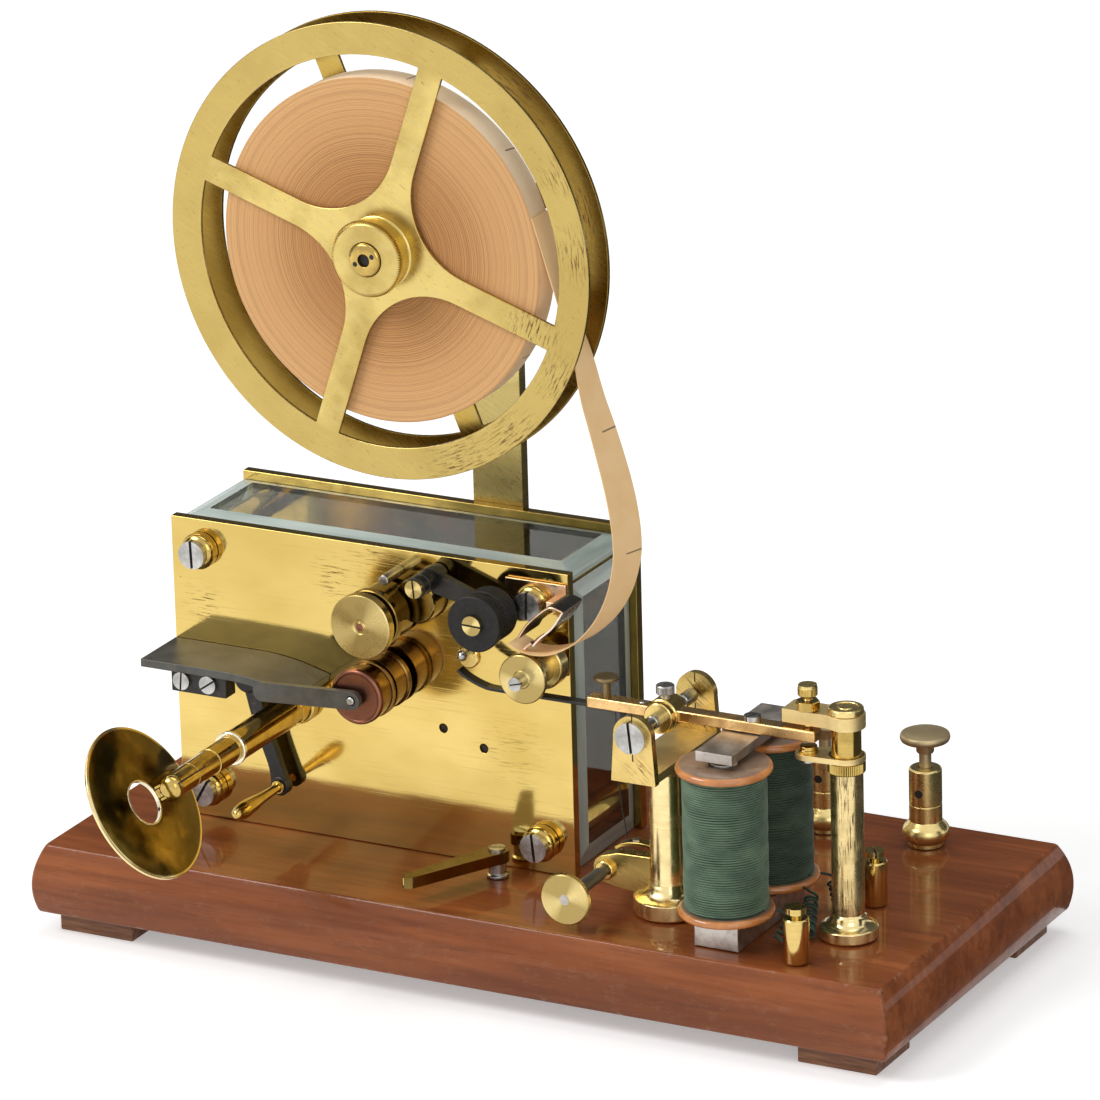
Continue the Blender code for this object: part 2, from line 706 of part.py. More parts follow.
def smooth(points, per_span):
    """A smooth line through the points, a Catmull-Rom curve."""
    ends = [points[0]] + list(points) + [points[-1]]
    made = []
    for k in range(1, len(ends) - 2):
        a, b, c, d = (Vector(p) for p in ends[k - 1:k + 3])
        for step in range(per_span):
            t = step / per_span
            made.append(tuple(0.5 * (2 * b + (c - a) * t + (2 * a - 5 * b + 4 * c - d) * t * t
                                     + (3 * b - a - 3 * c + d) * t * t * t)))
    made.append(tuple(ends[-2]))
    return made


def gear(name, teeth, radius, thickness, where, material):
    """A wheel with plain pointed teeth."""
    outline = []
    for tooth in range(teeth):
        outline += arc(0, 0, radius - TOOTH_DEPTH, 360 * tooth / teeth, 360 * tooth / teeth, 1)[:1]
        outline += arc(0, 0, radius, 360 * (tooth + 0.5) / teeth, 360 * tooth / teeth, 1)[:1]
    return solid(cut_out(name, [outline], thickness, where, material))


def mesh_place(first, first_reach, second, second_reach):
    """The place of a wheel that meets two others, above the line between them."""
    span = hypot(second[0] - first[0], second[1] - first[1])
    along = (first_reach ** 2 - second_reach ** 2 + span ** 2) / (2 * span)
    rise = max(first_reach ** 2 - along ** 2, 0) ** 0.5
    unit_x = (second[0] - first[0]) / span
    unit_z = (second[1] - first[1]) / span
    return first[0] + unit_x * along - unit_z * rise, first[1] + unit_z * along + unit_x * rise


# Board and feet
def board():
    middle_x = BOARD_LENGTH / 2 - CASE_LEFT
    middle_y = BOARD_WIDTH / 2 - CASE_FRONT
    widest = BOARD_THICKNESS * BULGE_HEIGHT_SHARE
    layers = []
    for k in range(BOARD_STEPS + 1):
        height = BOARD_THICKNESS * k / BOARD_STEPS
        away = (height - widest) / (BOARD_THICKNESS - widest)
        layers.append((height, BOARD_BULGE * away * away))
    stacked("base_board", BOARD_LENGTH, BOARD_WIDTH, layers, (middle_x, middle_y, -BOARD_THICKNESS), MAHOGANY)
    reach_x = BOARD_LENGTH / 2 - BOARD_BULGE - FOOT_INSET - FOOT_LENGTH / 2
    reach_y = BOARD_WIDTH / 2 - BOARD_BULGE - FOOT_INSET - FOOT_WIDTH / 2
    height = FOOT_HEIGHT - GAP
    for side_x, word_x in ((-1, "left"), (1, "right")):
        for side_y, word_y in ((-1, "front"), (1, "back")):
            where = (middle_x + side_x * reach_x, middle_y + side_y * reach_y,
                     -BOARD_THICKNESS - GAP - height / 2)
            block(f"foot_{word_y}_{word_x}", (FOOT_LENGTH, FOOT_WIDTH, height), where, PALE_WOOD)


# Case
BOLT_PLACES = {
    "top_left": (BOLT_SIDE, CASE_HEIGHT - BOLT_TOP),
    "top_right": (CASE_LENGTH - BOLT_SIDE, CASE_HEIGHT - BOLT_TOP),
    "bottom_left": (BOLT_SIDE, BOLT_FOOT),
    "bottom_right": (CASE_LENGTH - BOLT_SIDE, BOLT_FOOT),
}


def plate(name, height, depth, holes):
    """One brass plate, standing on the board, with its holes."""
    outline = [(0, GAP), (CASE_LENGTH, GAP), (CASE_LENGTH, height), (0, height)]
    loops = [outline] + [circle(x, z, radius + GAP, TINY) for x, z, radius in holes]
    return solid(cut_out(name, loops, PLATE_THICKNESS, (0, depth, 0), BRASS))


def case():
    bolts = [(x, z, BOLT_SHANK_RADIUS) for x, z in BOLT_PLACES.values()]
    arbors = [
        (LOWER_ROLLER_X, LOWER_ROLLER_Z, ARBOR_RADIUS),
        (UPPER_ROLLER_X, UPPER_ROLLER_Z, ARBOR_RADIUS),
        (INK_PIVOT_X, INK_PIVOT_Z, ARBOR_RADIUS),
        (WRITING_X, WRITING_Z, ARBOR_RADIUS),
        (SPOOL_X, SPOOL_Z, ARBOR_RADIUS),
        (BARREL_X, BARREL_Z, WINDING_STUB_RADIUS),
    ]
    plate("front_plate", CASE_HEIGHT, PLATE_THICKNESS / 2, bolts + arbors)
    plate("back_plate", CASE_HEIGHT + BACK_PLATE_RISE, CASE_DEPTH - PLATE_THICKNESS / 2, bolts)
    depth = INNER_END - INNER_START
    middle_y = (INNER_START + INNER_END) / 2
    layers = [(0, 0), (GLASS_EDGE, 0), (GLASS_THICKNESS, GLASS_BEVEL)]
    top_foot = CASE_HEIGHT - GLASS_THICKNESS
    stacked("glass_top", CASE_LENGTH - 2 * GLASS_INSET, depth, layers,
            (CASE_LENGTH / 2, middle_y, top_foot), GLASS)
    height = top_foot - 2 * GAP
    middle_z = GAP + height / 2
    right_x = CASE_LENGTH - GLASS_INSET - GLASS_THICKNESS
    stacked("glass_right", height, depth, layers, (right_x, middle_y, middle_z), GLASS, "right")
    left_x = GLASS_INSET + GLASS_THICKNESS
    stacked("glass_left", height, depth, layers, (left_x, middle_y, middle_z), GLASS, "left")
    head = BOLT_COLLAR_HEIGHT + BOLT_HEAD_HEIGHT
    for word, (x, z) in BOLT_PLACES.items():
        profile = [
            (head, 0), (head, BOLT_HEAD_RADIUS), (BOLT_COLLAR_HEIGHT, BOLT_HEAD_RADIUS),
            (BOLT_COLLAR_HEIGHT * 0.6, BOLT_COLLAR_RADIUS), (GAP, BOLT_COLLAR_RADIUS),
            (GAP, BOLT_SHANK_RADIUS), (-INNER_START, BOLT_SHANK_RADIUS),
            (-INNER_START, BOLT_PILLAR_RADIUS), (-INNER_END, BOLT_PILLAR_RADIUS),
            (-INNER_END, BOLT_SHANK_RADIUS), (-BACK_FACE - GAP, BOLT_SHANK_RADIUS),
            (-BACK_FACE - GAP, BOLT_NUT_RADIUS), (-BACK_FACE - GAP - BOLT_NUT_HEIGHT, BOLT_NUT_RADIUS),
            (-BACK_FACE - GAP - BOLT_NUT_HEIGHT, 0),
        ]
        turned(f"case_bolt_{word}", profile, (x, 0, z), BRASS, steps=SMALL)


# Clockwork
def arbor_profile(start, end, radius):
    """A plain round bar between two depths behind the plate's front face."""
    return [(-start, 0), (-start, radius), (-end, radius), (-end, 0)]


def clockwork():
    barrel_end = BARREL_START + BARREL_WIDTH
    profile = [
        (-INNER_START - BARREL_START / 2, 0), (-INNER_START - BARREL_START / 2, ARBOR_RADIUS),
        (-BARREL_START, ARBOR_RADIUS), (-BARREL_START, BARREL_RADIUS), (-barrel_end, BARREL_RADIUS),
        (-barrel_end, ARBOR_RADIUS), (-INNER_END, ARBOR_RADIUS), (-INNER_END, 0),
    ]
    barrel = solid(turned("spring_barrel", profile, (BARREL_X, 0, BARREL_Z), OLD_BRASS, steps=ROUND))
    great_y = barrel_end + WHEEL_THICKNESS / 2 - GAP
    great = gear("great_wheel", GREAT_WHEEL_TEETH, GREAT_WHEEL_RADIUS, WHEEL_THICKNESS,
                 (BARREL_X, great_y, BARREL_Z), BRASS)
    boolean(barrel, great, "UNION")

    centre = mesh_place((BARREL_X, BARREL_Z), GREAT_WHEEL_RADIUS + PINION_RADIUS + MESH_GAP,
                        (LOWER_ROLLER_X, LOWER_ROLLER_Z), CENTRE_WHEEL_RADIUS + PINION_RADIUS + MESH_GAP)
    profile = arbor_profile(INNER_START, INNER_END, ARBOR_RADIUS)
    wheel = solid(turned("centre_wheel", profile, (centre[0], 0, centre[1]), STEEL, steps=SMALL))
    big = gear("centre_wheel_rim", CENTRE_WHEEL_TEETH, CENTRE_WHEEL_RADIUS, WHEEL_THICKNESS,
               (centre[0], CENTRE_WHEEL_DEPTH, centre[1]), BRASS)
    small = gear("centre_pinion", PINION_TEETH, PINION_RADIUS, PINION_WIDTH,
                 (centre[0], great_y, centre[1]), STEEL)
    boolean(wheel, big, "UNION")
    boolean(wheel, small, "UNION")

    reach = THIRD_WHEEL_RADIUS + GOVERNOR_PINION_RADIUS + MESH_GAP
    fan_x = LOWER_ROLLER_X + reach * cos(radians(GOVERNOR_ANGLE))
    fan_z = LOWER_ROLLER_Z + reach * sin(radians(GOVERNOR_ANGLE))
    profile = [
        (-INNER_START, 0), (-INNER_START, ARBOR_RADIUS), (-THIRD_WHEEL_DEPTH + PINION_WIDTH / 2, ARBOR_RADIUS),
        (-THIRD_WHEEL_DEPTH + PINION_WIDTH / 2, GOVERNOR_PINION_RADIUS),
        (-THIRD_WHEEL_DEPTH - PINION_WIDTH / 2, GOVERNOR_PINION_RADIUS),
        (-THIRD_WHEEL_DEPTH - PINION_WIDTH / 2, ARBOR_RADIUS), (-INNER_END, ARBOR_RADIUS), (-INNER_END, 0),
    ]
    fan = solid(turned("governor_fan", profile, (fan_x, 0, fan_z), STEEL, steps=SMALL))
    vane = block("fan_vane", (2 * FAN_RADIUS, FAN_WIDTH, FAN_THICKNESS),
                 (fan_x, FAN_START + FAN_WIDTH / 2, fan_z), BRASS)
    boolean(fan, vane, "UNION")


# Feed rollers
def rollers():
    groove = LOWER_GROOVE_START
    pin = ROLLER_FRONT + FORK_THICKNESS + 3 * GAP
    profile = [
        (pin, 0), (pin, FORK_PIN_RADIUS), (ROLLER_FRONT, FORK_PIN_RADIUS),
        (ROLLER_FRONT, LOWER_ROLLER_RADIUS - GAP), (ROLLER_FRONT - GAP, LOWER_ROLLER_RADIUS),
        (groove, LOWER_ROLLER_RIM), (groove, LOWER_GROOVE_RADIUS),
        (groove - LOWER_GROOVE_WIDTH, LOWER_GROOVE_RADIUS), (groove - LOWER_GROOVE_WIDTH, LOWER_ROLLER_RIM),
        (ROLLER_BACK, LOWER_ROLLER_RIM), (ROLLER_BACK, ARBOR_RADIUS), (-INNER_END, ARBOR_RADIUS), (-INNER_END, 0),
    ]
    roller = solid(turned("lower_roller", profile, (LOWER_ROLLER_X, 0, LOWER_ROLLER_Z), COPPER, steps=ROUND))
    third = gear("third_wheel", THIRD_WHEEL_TEETH, THIRD_WHEEL_RADIUS, WHEEL_THICKNESS,
                 (LOWER_ROLLER_X, THIRD_WHEEL_DEPTH, LOWER_ROLLER_Z), COPPER)
    small = gear("roller_pinion", PINION_TEETH, PINION_RADIUS, PINION_WIDTH,
                 (LOWER_ROLLER_X, CENTRE_WHEEL_DEPTH, LOWER_ROLLER_Z), COPPER)
    boolean(roller, third, "UNION")
    boolean(roller, small, "UNION")

    first = ROLLER_FRONT - UPPER_DISC_THICKNESS
    second = first - UPPER_GROOVE_WIDTH
    third = second - UPPER_SECOND_THICKNESS
    profile = [
        (ROLLER_FRONT, 0), (ROLLER_FRONT, UPPER_ROLLER_RADIUS), (first, UPPER_ROLLER_RADIUS),
        (first, UPPER_GROOVE_RADIUS), (second, UPPER_GROOVE_RADIUS), (second, UPPER_SECOND_RADIUS),
        (third, UPPER_SECOND_RADIUS), (third, UPPER_DRUM_RADIUS), (ROLLER_BACK, UPPER_DRUM_RADIUS),
        (ROLLER_BACK, ARBOR_RADIUS), (-PLATE_BACK - INNER_STUB, ARBOR_RADIUS), (-PLATE_BACK - INNER_STUB, 0),
    ]
    turned("upper_roller", profile, (UPPER_ROLLER_X, 0, UPPER_ROLLER_Z), BRASS)


# Tape table and fork arm
def table():
    back = GAP
    middle_y = -back - TABLE_DEPTH / 2
    mid_x = TABLE_KNEE_X + (TABLE_END_X - TABLE_KNEE_X) * TABLE_MID_SHARES[0]
    mid_z = TABLE_TOP - TABLE_END_DROP * TABLE_MID_SHARES[1]
    end_z = TABLE_TOP - TABLE_END_DROP
    top = [(0, TABLE_TOP), (TABLE_KNEE_X, TABLE_TOP), (mid_x, mid_z), (TABLE_END_X, end_z)]
    under = [(x, z - TABLE_THICKNESS) for x, z in top]
    sheet = solid(cut_out("tape_table", [under + top[::-1]], TABLE_DEPTH, (0, middle_y, 0), DARK_STEEL))
    depth_y = -back - TABLE_DEPTH + BLOCK_SETBACK + BLOCK_DEPTH / 2
    height = BLOCK_HEIGHT + TABLE_THICKNESS / 2
    pad = block("table_block", (BLOCK_LENGTH, BLOCK_DEPTH, height),
                (BLOCK_X + BLOCK_LENGTH / 2, depth_y, TABLE_TOP - TABLE_THICKNESS / 2 - height / 2), DARK_STEEL)
    boolean(sheet, pad, "UNION")
    fork_y = -back - TABLE_DEPTH - GAP - FORK_THICKNESS / 2
    bar = rounded_bar((FORK_ROOT_X, FORK_ROOT_Z), (LOWER_ROLLER_X, LOWER_ROLLER_Z),
                      FORK_ROOT_WIDTH / 2 + GAP, FORK_END_RADIUS)
    eye = circle(LOWER_ROLLER_X, LOWER_ROLLER_Z, FORK_PIN_RADIUS + GAP, SMALL)
    cut_out("fork_arm", [bar, eye], FORK_THICKNESS, (0, fork_y, 0), DARK_STEEL)


# Ink roller and its arm
def ink():
    arm_y = -INK_ARM_BACK - INK_ARM_THICKNESS / 2
    end = (INK_ROLLER_X - INK_PIVOT_X, INK_ROLLER_Z - INK_PIVOT_Z)
    bar = rounded_bar((0, 0), end, INK_BOSS_RADIUS, INK_ARM_WIDTH / 2 + GAP)
    arm = solid(cut_out("ink_arm", [bar], INK_ARM_THICKNESS, (INK_PIVOT_X, arm_y, INK_PIVOT_Z), DARK_STEEL))
    profile = [
        (INK_BOSS_FRONT, 0), (INK_BOSS_FRONT, INK_BOSS_RADIUS - GAP), (2 * GAP, INK_BOSS_RADIUS - GAP),
        (2 * GAP, ARBOR_RADIUS), (-PLATE_BACK - INNER_STUB, ARBOR_RADIUS), (-PLATE_BACK - INNER_STUB, 0),
    ]
    boss = solid(turned("ink_boss", profile, (INK_PIVOT_X, 0, INK_PIVOT_Z), DARK_STEEL, steps=SMALL))
    boolean(arm, boss, "UNION")
    front = ROLLER_FRONT + GAP
    profile = [
        (front + INK_HEAD_HEIGHT, 0), (front + INK_HEAD_HEIGHT, INK_HEAD_RADIUS), (front, INK_HEAD_RADIUS),
        (front, FORK_PIN_RADIUS), (INK_ARM_BACK + INK_ARM_THICKNESS / 2, FORK_PIN_RADIUS),
        (INK_ARM_BACK + INK_ARM_THICKNESS / 2, 0),
    ]
    pin = solid(turned("ink_pin", profile, (INK_ROLLER_X, 0, INK_ROLLER_Z), DARK_STEEL, steps=SMALL))
    boolean(arm, pin, "UNION")
    bore = FORK_PIN_RADIUS + GAP
    disc = ROLLER_FRONT - INK_DISC_THICKNESS
    profile = [
        (ROLLER_FRONT, bore), (ROLLER_FRONT, INK_ROLLER_RADIUS), (disc, INK_ROLLER_RADIUS),
        (disc, INK_FELT_RADIUS), (INK_ROLLER_BACK, INK_FELT_RADIUS), (INK_ROLLER_BACK, bore),
    ]
    turned("ink_roller", profile, (INK_ROLLER_X, 0, INK_ROLLER_Z), INK_BLACK)


def writing_roller():
    front = ROLLER_FRONT
    tip = front + WRITING_SCREW_LENGTH
    flange = front - WRITING_FLANGE_THICKNESS
    rear = WRITING_REAR_START - WRITING_REAR_WIDTH
    profile = [
        (tip, 0), (tip, WRITING_SCREW_RADIUS), (front, WRITING_SCREW_RADIUS), (front, WRITING_FLANGE_RADIUS),
        (flange, WRITING_FLANGE_RADIUS), (flange, WRITING_DRUM_RADIUS), (WRITING_REAR_START, WRITING_DRUM_RADIUS),
        (WRITING_REAR_START, WRITING_REAR_RADIUS), (rear, WRITING_REAR_RADIUS), (rear, ARBOR_RADIUS),
        (-PLATE_BACK, ARBOR_RADIUS), (-PLATE_BACK, 0),
    ]
    turned("writing_roller", profile, (WRITING_X, 0, WRITING_Z), BRASS)


def tape_guide():
    bolt_x, bolt_z = BOLT_PLACES["top_right"]
    outline = ribbon(GUIDE_LINE, [GUIDE_SHEET] * len(GUIDE_LINE))
    where = (bolt_x, -GUIDE_START - GUIDE_DEPTH / 2, bolt_z)
    fold = solid(cut_out("tape_guide", [outline], GUIDE_DEPTH, where, COPPER))
    strap_start = bolt_x + BOLT_COLLAR_RADIUS + GAP
    strap = block("guide_strap", (CASE_LENGTH - strap_start, GUIDE_STRAP_THICKNESS, GUIDE_STRAP_HEIGHT),
                  ((strap_start + CASE_LENGTH) / 2, -GAP - GUIDE_STRAP_THICKNESS / 2, bolt_z), COPPER)
    reach = GUIDE_START + GUIDE_LINK / 2 - 2 * GAP
    link = block("guide_link", (GUIDE_LINK, reach, GUIDE_LINK),
                 (bolt_x + GUIDE_LINK_PLACE[0], -2 * GAP - reach / 2, bolt_z + GUIDE_LINK_PLACE[1]), COPPER)
    boolean(fold, strap, "UNION")
    boolean(fold, link, "UNION")


# Reel and tape
def window(turn):
    """One opening between two spokes."""
    inner = REEL_RADIUS - REEL_RING
    lean = atan2(SPOKE_HALF_WIDTH, inner) * 180 / pi
    rim = arc(0, 0, inner, turn + lean, turn + 360 / SPOKES - lean, 9)
    middle = radians(turn + 180 / SPOKES)
    out = (SPOKE_HALF_WIDTH + SPOKE_FILLET) / sin(pi / SPOKES)
    centre_x = out * cos(middle)
    centre_y = out * sin(middle)
    corner = arc(centre_x, centre_y, SPOKE_FILLET, turn + 180, turn + 270, 6)
    return rim + corner


def reel():
    front_face = TAPE_CENTRE + TAPE_WIDTH / 2 + TAPE_SIDE_CLEARANCE
    back_face = TAPE_CENTRE - TAPE_WIDTH / 2 - TAPE_SIDE_CLEARANCE
    where = (REEL_X, 0, REEL_Z)
    front_windows = [window(FRONT_SPOKE_ANGLE + 360 * k / SPOKES) for k in range(SPOKES)]
    back_windows = [window(BACK_SPOKE_ANGLE + 360 * k / SPOKES) for k in range(SPOKES)]
    rim = circle(0, 0, REEL_RADIUS, RIM)

    bore = HUB_RADIUS + GAP
    front = cut_out("reel_flange_front", [rim] + front_windows + [circle(0, 0, bore + GAP, ROUND)], REEL_FLANGE,
                    (REEL_X, -front_face - REEL_FLANGE / 2, REEL_Z), OLD_BRASS)
    front = solid(front)
    collar_foot = front_face + REEL_FLANGE
    collar_top = collar_foot + REEL_COLLAR_HEIGHT
    sunk = collar_foot - REEL_FLANGE / 2
    profile = [(collar_top, bore), (collar_top, REEL_COLLAR_RADIUS), (sunk, REEL_COLLAR_RADIUS), (sunk, bore)]
    collar = solid(turned("reel_collar", profile, where, OLD_BRASS))
    boolean(front, collar, "UNION")

    back = cut_out("reel_flange_back", [rim] + back_windows + [circle(0, 0, HUB_RADIUS - GAP, ROUND)], REEL_FLANGE,
                   (REEL_X, -back_face + REEL_FLANGE / 2, REEL_Z), OLD_BRASS)
    back = solid(back)
    axle_bore = AXLE_RADIUS + GAP
    hub_top = collar_top - GAP
    hub_foot = back_face - REEL_FLANGE - GAP
    profile = [(hub_top, axle_bore), (hub_top, HUB_RADIUS), (hub_foot, HUB_RADIUS), (hub_foot, axle_bore)]
    hub = solid(turned("reel_hub", profile, where, OLD_BRASS))
    boolean(back, hub, "UNION")

    paper_top = TAPE_CENTRE + TAPE_WIDTH / 2
    paper_foot = TAPE_CENTRE - TAPE_WIDTH / 2
    profile = [(paper_top, bore), (paper_top, PAPER_RADIUS), (paper_foot, PAPER_RADIUS), (paper_foot, bore)]
    turned("paper_roll", profile, where, PAPER, steps=PAPER_STEPS)

    nut_foot = collar_top + GAP
    nut_top = nut_foot + REEL_NUT_HEIGHT
    nut_bore = AXLE_BUSH_RADIUS + GAP
    profile = [(nut_top, nut_bore), (nut_top, REEL_NUT_RADIUS), (nut_foot, REEL_NUT_RADIUS), (nut_foot, nut_bore)]
    turned("reel_nut", profile, where, OLD_BRASS, steps=FINE)

    post_front = -BACK_FACE - GAP
    post_back = post_front - POST_THICKNESS
    shoulder = hub_foot - GAP
    bush_foot = collar_top
    bush_top = nut_top + AXLE_BUSH_HEIGHT
    profile = [
        (bush_top, 0), (bush_top, AXLE_BUSH_RADIUS), (bush_foot, AXLE_BUSH_RADIUS), (bush_foot, AXLE_RADIUS),
        (shoulder, AXLE_RADIUS), (shoulder, AXLE_SHOULDER_RADIUS), (post_front + GAP, AXLE_SHOULDER_RADIUS),
        (post_front + GAP, AXLE_RADIUS), (post_back - GAP, AXLE_RADIUS), (post_back - GAP, AXLE_NUT_RADIUS),
        (post_back - GAP - AXLE_NUT_HEIGHT, AXLE_NUT_RADIUS), (post_back - GAP - AXLE_NUT_HEIGHT, 0),
    ]
    turned("reel_axle", profile, where, OLD_BRASS)
    half = POST_WIDTH / 2
    outline = arc(0, 0, half, 0, 180, 12) + [(-half, GAP - REEL_Z), (half, GAP - REEL_Z)]
    cut_out("reel_post", [outline, circle(0, 0, AXLE_RADIUS + GAP, SMALL)], POST_THICKNESS,
            (REEL_X, BACK_FACE + GAP + POST_THICKNESS / 2, REEL_Z), OLD_BRASS)


# The tape's line from the roll to its torn end, measured from the plate's top right corner
TAPE_FALL = (
    (0.0181, 0.0869), (0.0205, 0.0729), (0.0236, 0.0632), (0.0265, 0.0536), (0.0292, 0.0438), (0.0313, 0.0340),
    (0.0325, 0.0238), (0.0322, 0.0150), (0.0290, 0.0029), (0.0229, -0.0078), (0.0140, -0.0165), (0.0040, -0.0215),
    (-0.0050, -0.0223), (-0.0122, -0.0197),
)


def paper_tape():
    fall = [(CASE_LENGTH + x, CASE_HEIGHT + z) for x, z in TAPE_FALL]
    first = fall[0]
    reach = hypot(first[0] - REEL_X, first[1] - REEL_Z)
    wound = PAPER_RADIUS + GAP + TAPE_THICKNESS / 2
    leave = atan2(first[1] - REEL_Z, first[0] - REEL_X) + acos(wound / reach)
    start = (REEL_X + wound * cos(leave), REEL_Z + wound * sin(leave))
    line = [(start[0], 0, start[1])] + [(x, 0, z) for x, z in fall]
    points = [(x, z) for x, _, z in smooth(line, 2)]
    outline = ribbon(points, [TAPE_THICKNESS] * len(points))
    cut_out("paper_tape", [outline], TAPE_WIDTH, (0, -TAPE_CENTRE, 0), PAPER)


# Winding lever and its handle
def winding():
    end = (WINDING_END_X, -WINDING_END_DROP)
    line = [(0, 0)] + [(end[0] * x, end[1] * y) for x, y in WINDING_SHARES] + [end]
    bar = ribbon(line, WINDING_WIDTHS, 8)
    hole = circle(end[0], end[1], HANDLE_PIN_RADIUS + GAP, TINY)
    arm_y = -WINDING_ARM_BACK - WINDING_ARM_THICKNESS / 2
    where = (BARREL_X, arm_y, BARREL_Z)
    arm = solid(cut_out("winding_lever", [bar, hole], WINDING_ARM_THICKNESS, where, DARK_STEEL))
    profile = [
        (WINDING_HUB_FRONT, 0), (WINDING_HUB_FRONT, WINDING_HUB_RADIUS), (GAP, WINDING_HUB_RADIUS),
        (GAP, WINDING_STUB_RADIUS), (-PLATE_BACK - INNER_STUB, WINDING_STUB_RADIUS), (-PLATE_BACK - INNER_STUB, 0),
    ]
    hub = solid(turned("lever_hub", profile, (BARREL_X, 0, BARREL_Z), DARK_STEEL))
    boolean(arm, hub, "UNION")
    foot = WINDING_ARM_BACK + WINDING_ARM_THICKNESS + GAP
    shape = [(foot + HANDLE_LENGTH, 0)]
    shape += [(foot + HANDLE_LENGTH * along, HANDLE_RADIUS * wide) for along, wide in HANDLE_RADIUS_SHARES]
    shape += [
        (foot, HANDLE_NECK_RADIUS), (foot, HANDLE_PIN_RADIUS), (WINDING_ARM_BACK, HANDLE_PIN_RADIUS),
        (WINDING_ARM_BACK, 0),
    ]
    turned("winding_handle", shape, (BARREL_X + end[0], 0, BARREL_Z + end[1]), BRASS, steps=SMALL)


# Take-up spool and its hinged flange
def spool():
    tube_start = SPOOL_COLLAR_WIDTH + SPOOL_HUB_WIDTH
    nose_start = SPOOL_SHOULDER + SPOOL_BEAD_WIDTH
    dome = SPOOL_NOSE_END - SPOOL_NOSE_RADIUS * 0.8
    profile = [
        (SPOOL_NOSE_END, 0), (SPOOL_NOSE_END - SPOOL_NOSE_RADIUS * 0.15, SPOOL_NOSE_RADIUS * 0.55),
        (SPOOL_NOSE_END - SPOOL_NOSE_RADIUS * 0.4, SPOOL_NOSE_RADIUS * 0.85), (dome, SPOOL_NOSE_RADIUS),
        (nose_start, SPOOL_NOSE_RADIUS), (nose_start, SPOOL_BEAD_RADIUS), (SPOOL_SHOULDER, SPOOL_BEAD_RADIUS),
        (SPOOL_SHOULDER, SPOOL_RADIUS), (tube_start, SPOOL_RADIUS), (tube_start, SPOOL_HUB_RADIUS),
        (SPOOL_COLLAR_WIDTH, SPOOL_HUB_RADIUS), (SPOOL_COLLAR_WIDTH, SPOOL_COLLAR_RADIUS),
        (GAP, SPOOL_COLLAR_RADIUS), (GAP, ARBOR_RADIUS), (-PLATE_BACK - INNER_STUB, ARBOR_RADIUS),
        (-PLATE_BACK - INNER_STUB, 0),
    ]
    body = solid(turned("take_up_spool", profile, (SPOOL_X, 0, SPOOL_Z), BRASS, steps=SMALL))
    lean = radians(FLANGE_ANGLE)
    across = Vector((sin(lean), 0, -cos(lean)))
    outward = Vector((-cos(lean), 0, -sin(lean)))
    height = HINGE_OFFSET + EAR_REACH
    offset = KNUCKLE_WIDTH / 2 + GAP + EAR_THICKNESS / 2
    for side in (-1, 1):
        spot = Vector((SPOOL_X, -HINGE_REACH, SPOOL_Z)) + outward * (height / 2) + across * (side * offset)
        ear = block("ear", (EAR_THICKNESS, 2 * EAR_REACH, height), spot, BRASS)
        ear.rotation_euler = (0, pi / 2 - lean, 0)
        boolean(body, ear, "UNION")

    hinge = bpy.data.objects.new("flange_hinge", None)
    PARTS.objects.link(hinge)
    hinge.parent = case_frame
    hinge.location = Vector((SPOOL_X, -HINGE_REACH, SPOOL_Z)) + outward * HINGE_OFFSET
    hinge.rotation_euler = (0, pi / 2 - lean, 0)
    disc_depth = KNUCKLE_RADIUS - GAP + FLANGE_THICKNESS / 2
    centre_y = -(FLANGE_HOLE_RADIUS + FLANGE_EDGE)
    disc = cut_out("spool_flange", [circle(0, 0, FLANGE_RADIUS, RIM), circle(0, 0, FLANGE_HOLE_RADIUS, ROUND)],
                   FLANGE_THICKNESS, (0, centre_y, -disc_depth), BRASS, "up")
    disc.parent = hinge
    disc = solid(disc)
    knuckle = turned("knuckle", [(KNUCKLE_WIDTH / 2, 0), (KNUCKLE_WIDTH / 2, KNUCKLE_RADIUS),
                                 (-KNUCKLE_WIDTH / 2, KNUCKLE_RADIUS), (-KNUCKLE_WIDTH / 2, 0)],
                     (0, 0, 0), BRASS, "right", steps=12, parent=hinge)
    boolean(disc, solid(knuckle), "UNION")


# Start lever
def start_lever():
    bar = rounded_bar((0, 0), (START_TIP_X, START_TIP_Y), START_WIDTH / 2, START_TIP_WIDTH / 2)
    where = (START_X, START_Y, START_HEIGHT + START_THICKNESS / 2)
    lever = solid(cut_out("start_lever", [bar], START_THICKNESS, where, BRASS, "up"))
    top = START_HEIGHT + START_THICKNESS / 2
    profile = [(top, 0), (top, START_BOSS_RADIUS), (GAP, START_BOSS_RADIUS), (GAP, 0)]
    boss = solid(turned("start_boss", profile, (START_X, START_Y, 0), STEEL, "up", SMALL))
    boolean(lever, boss, "UNION")


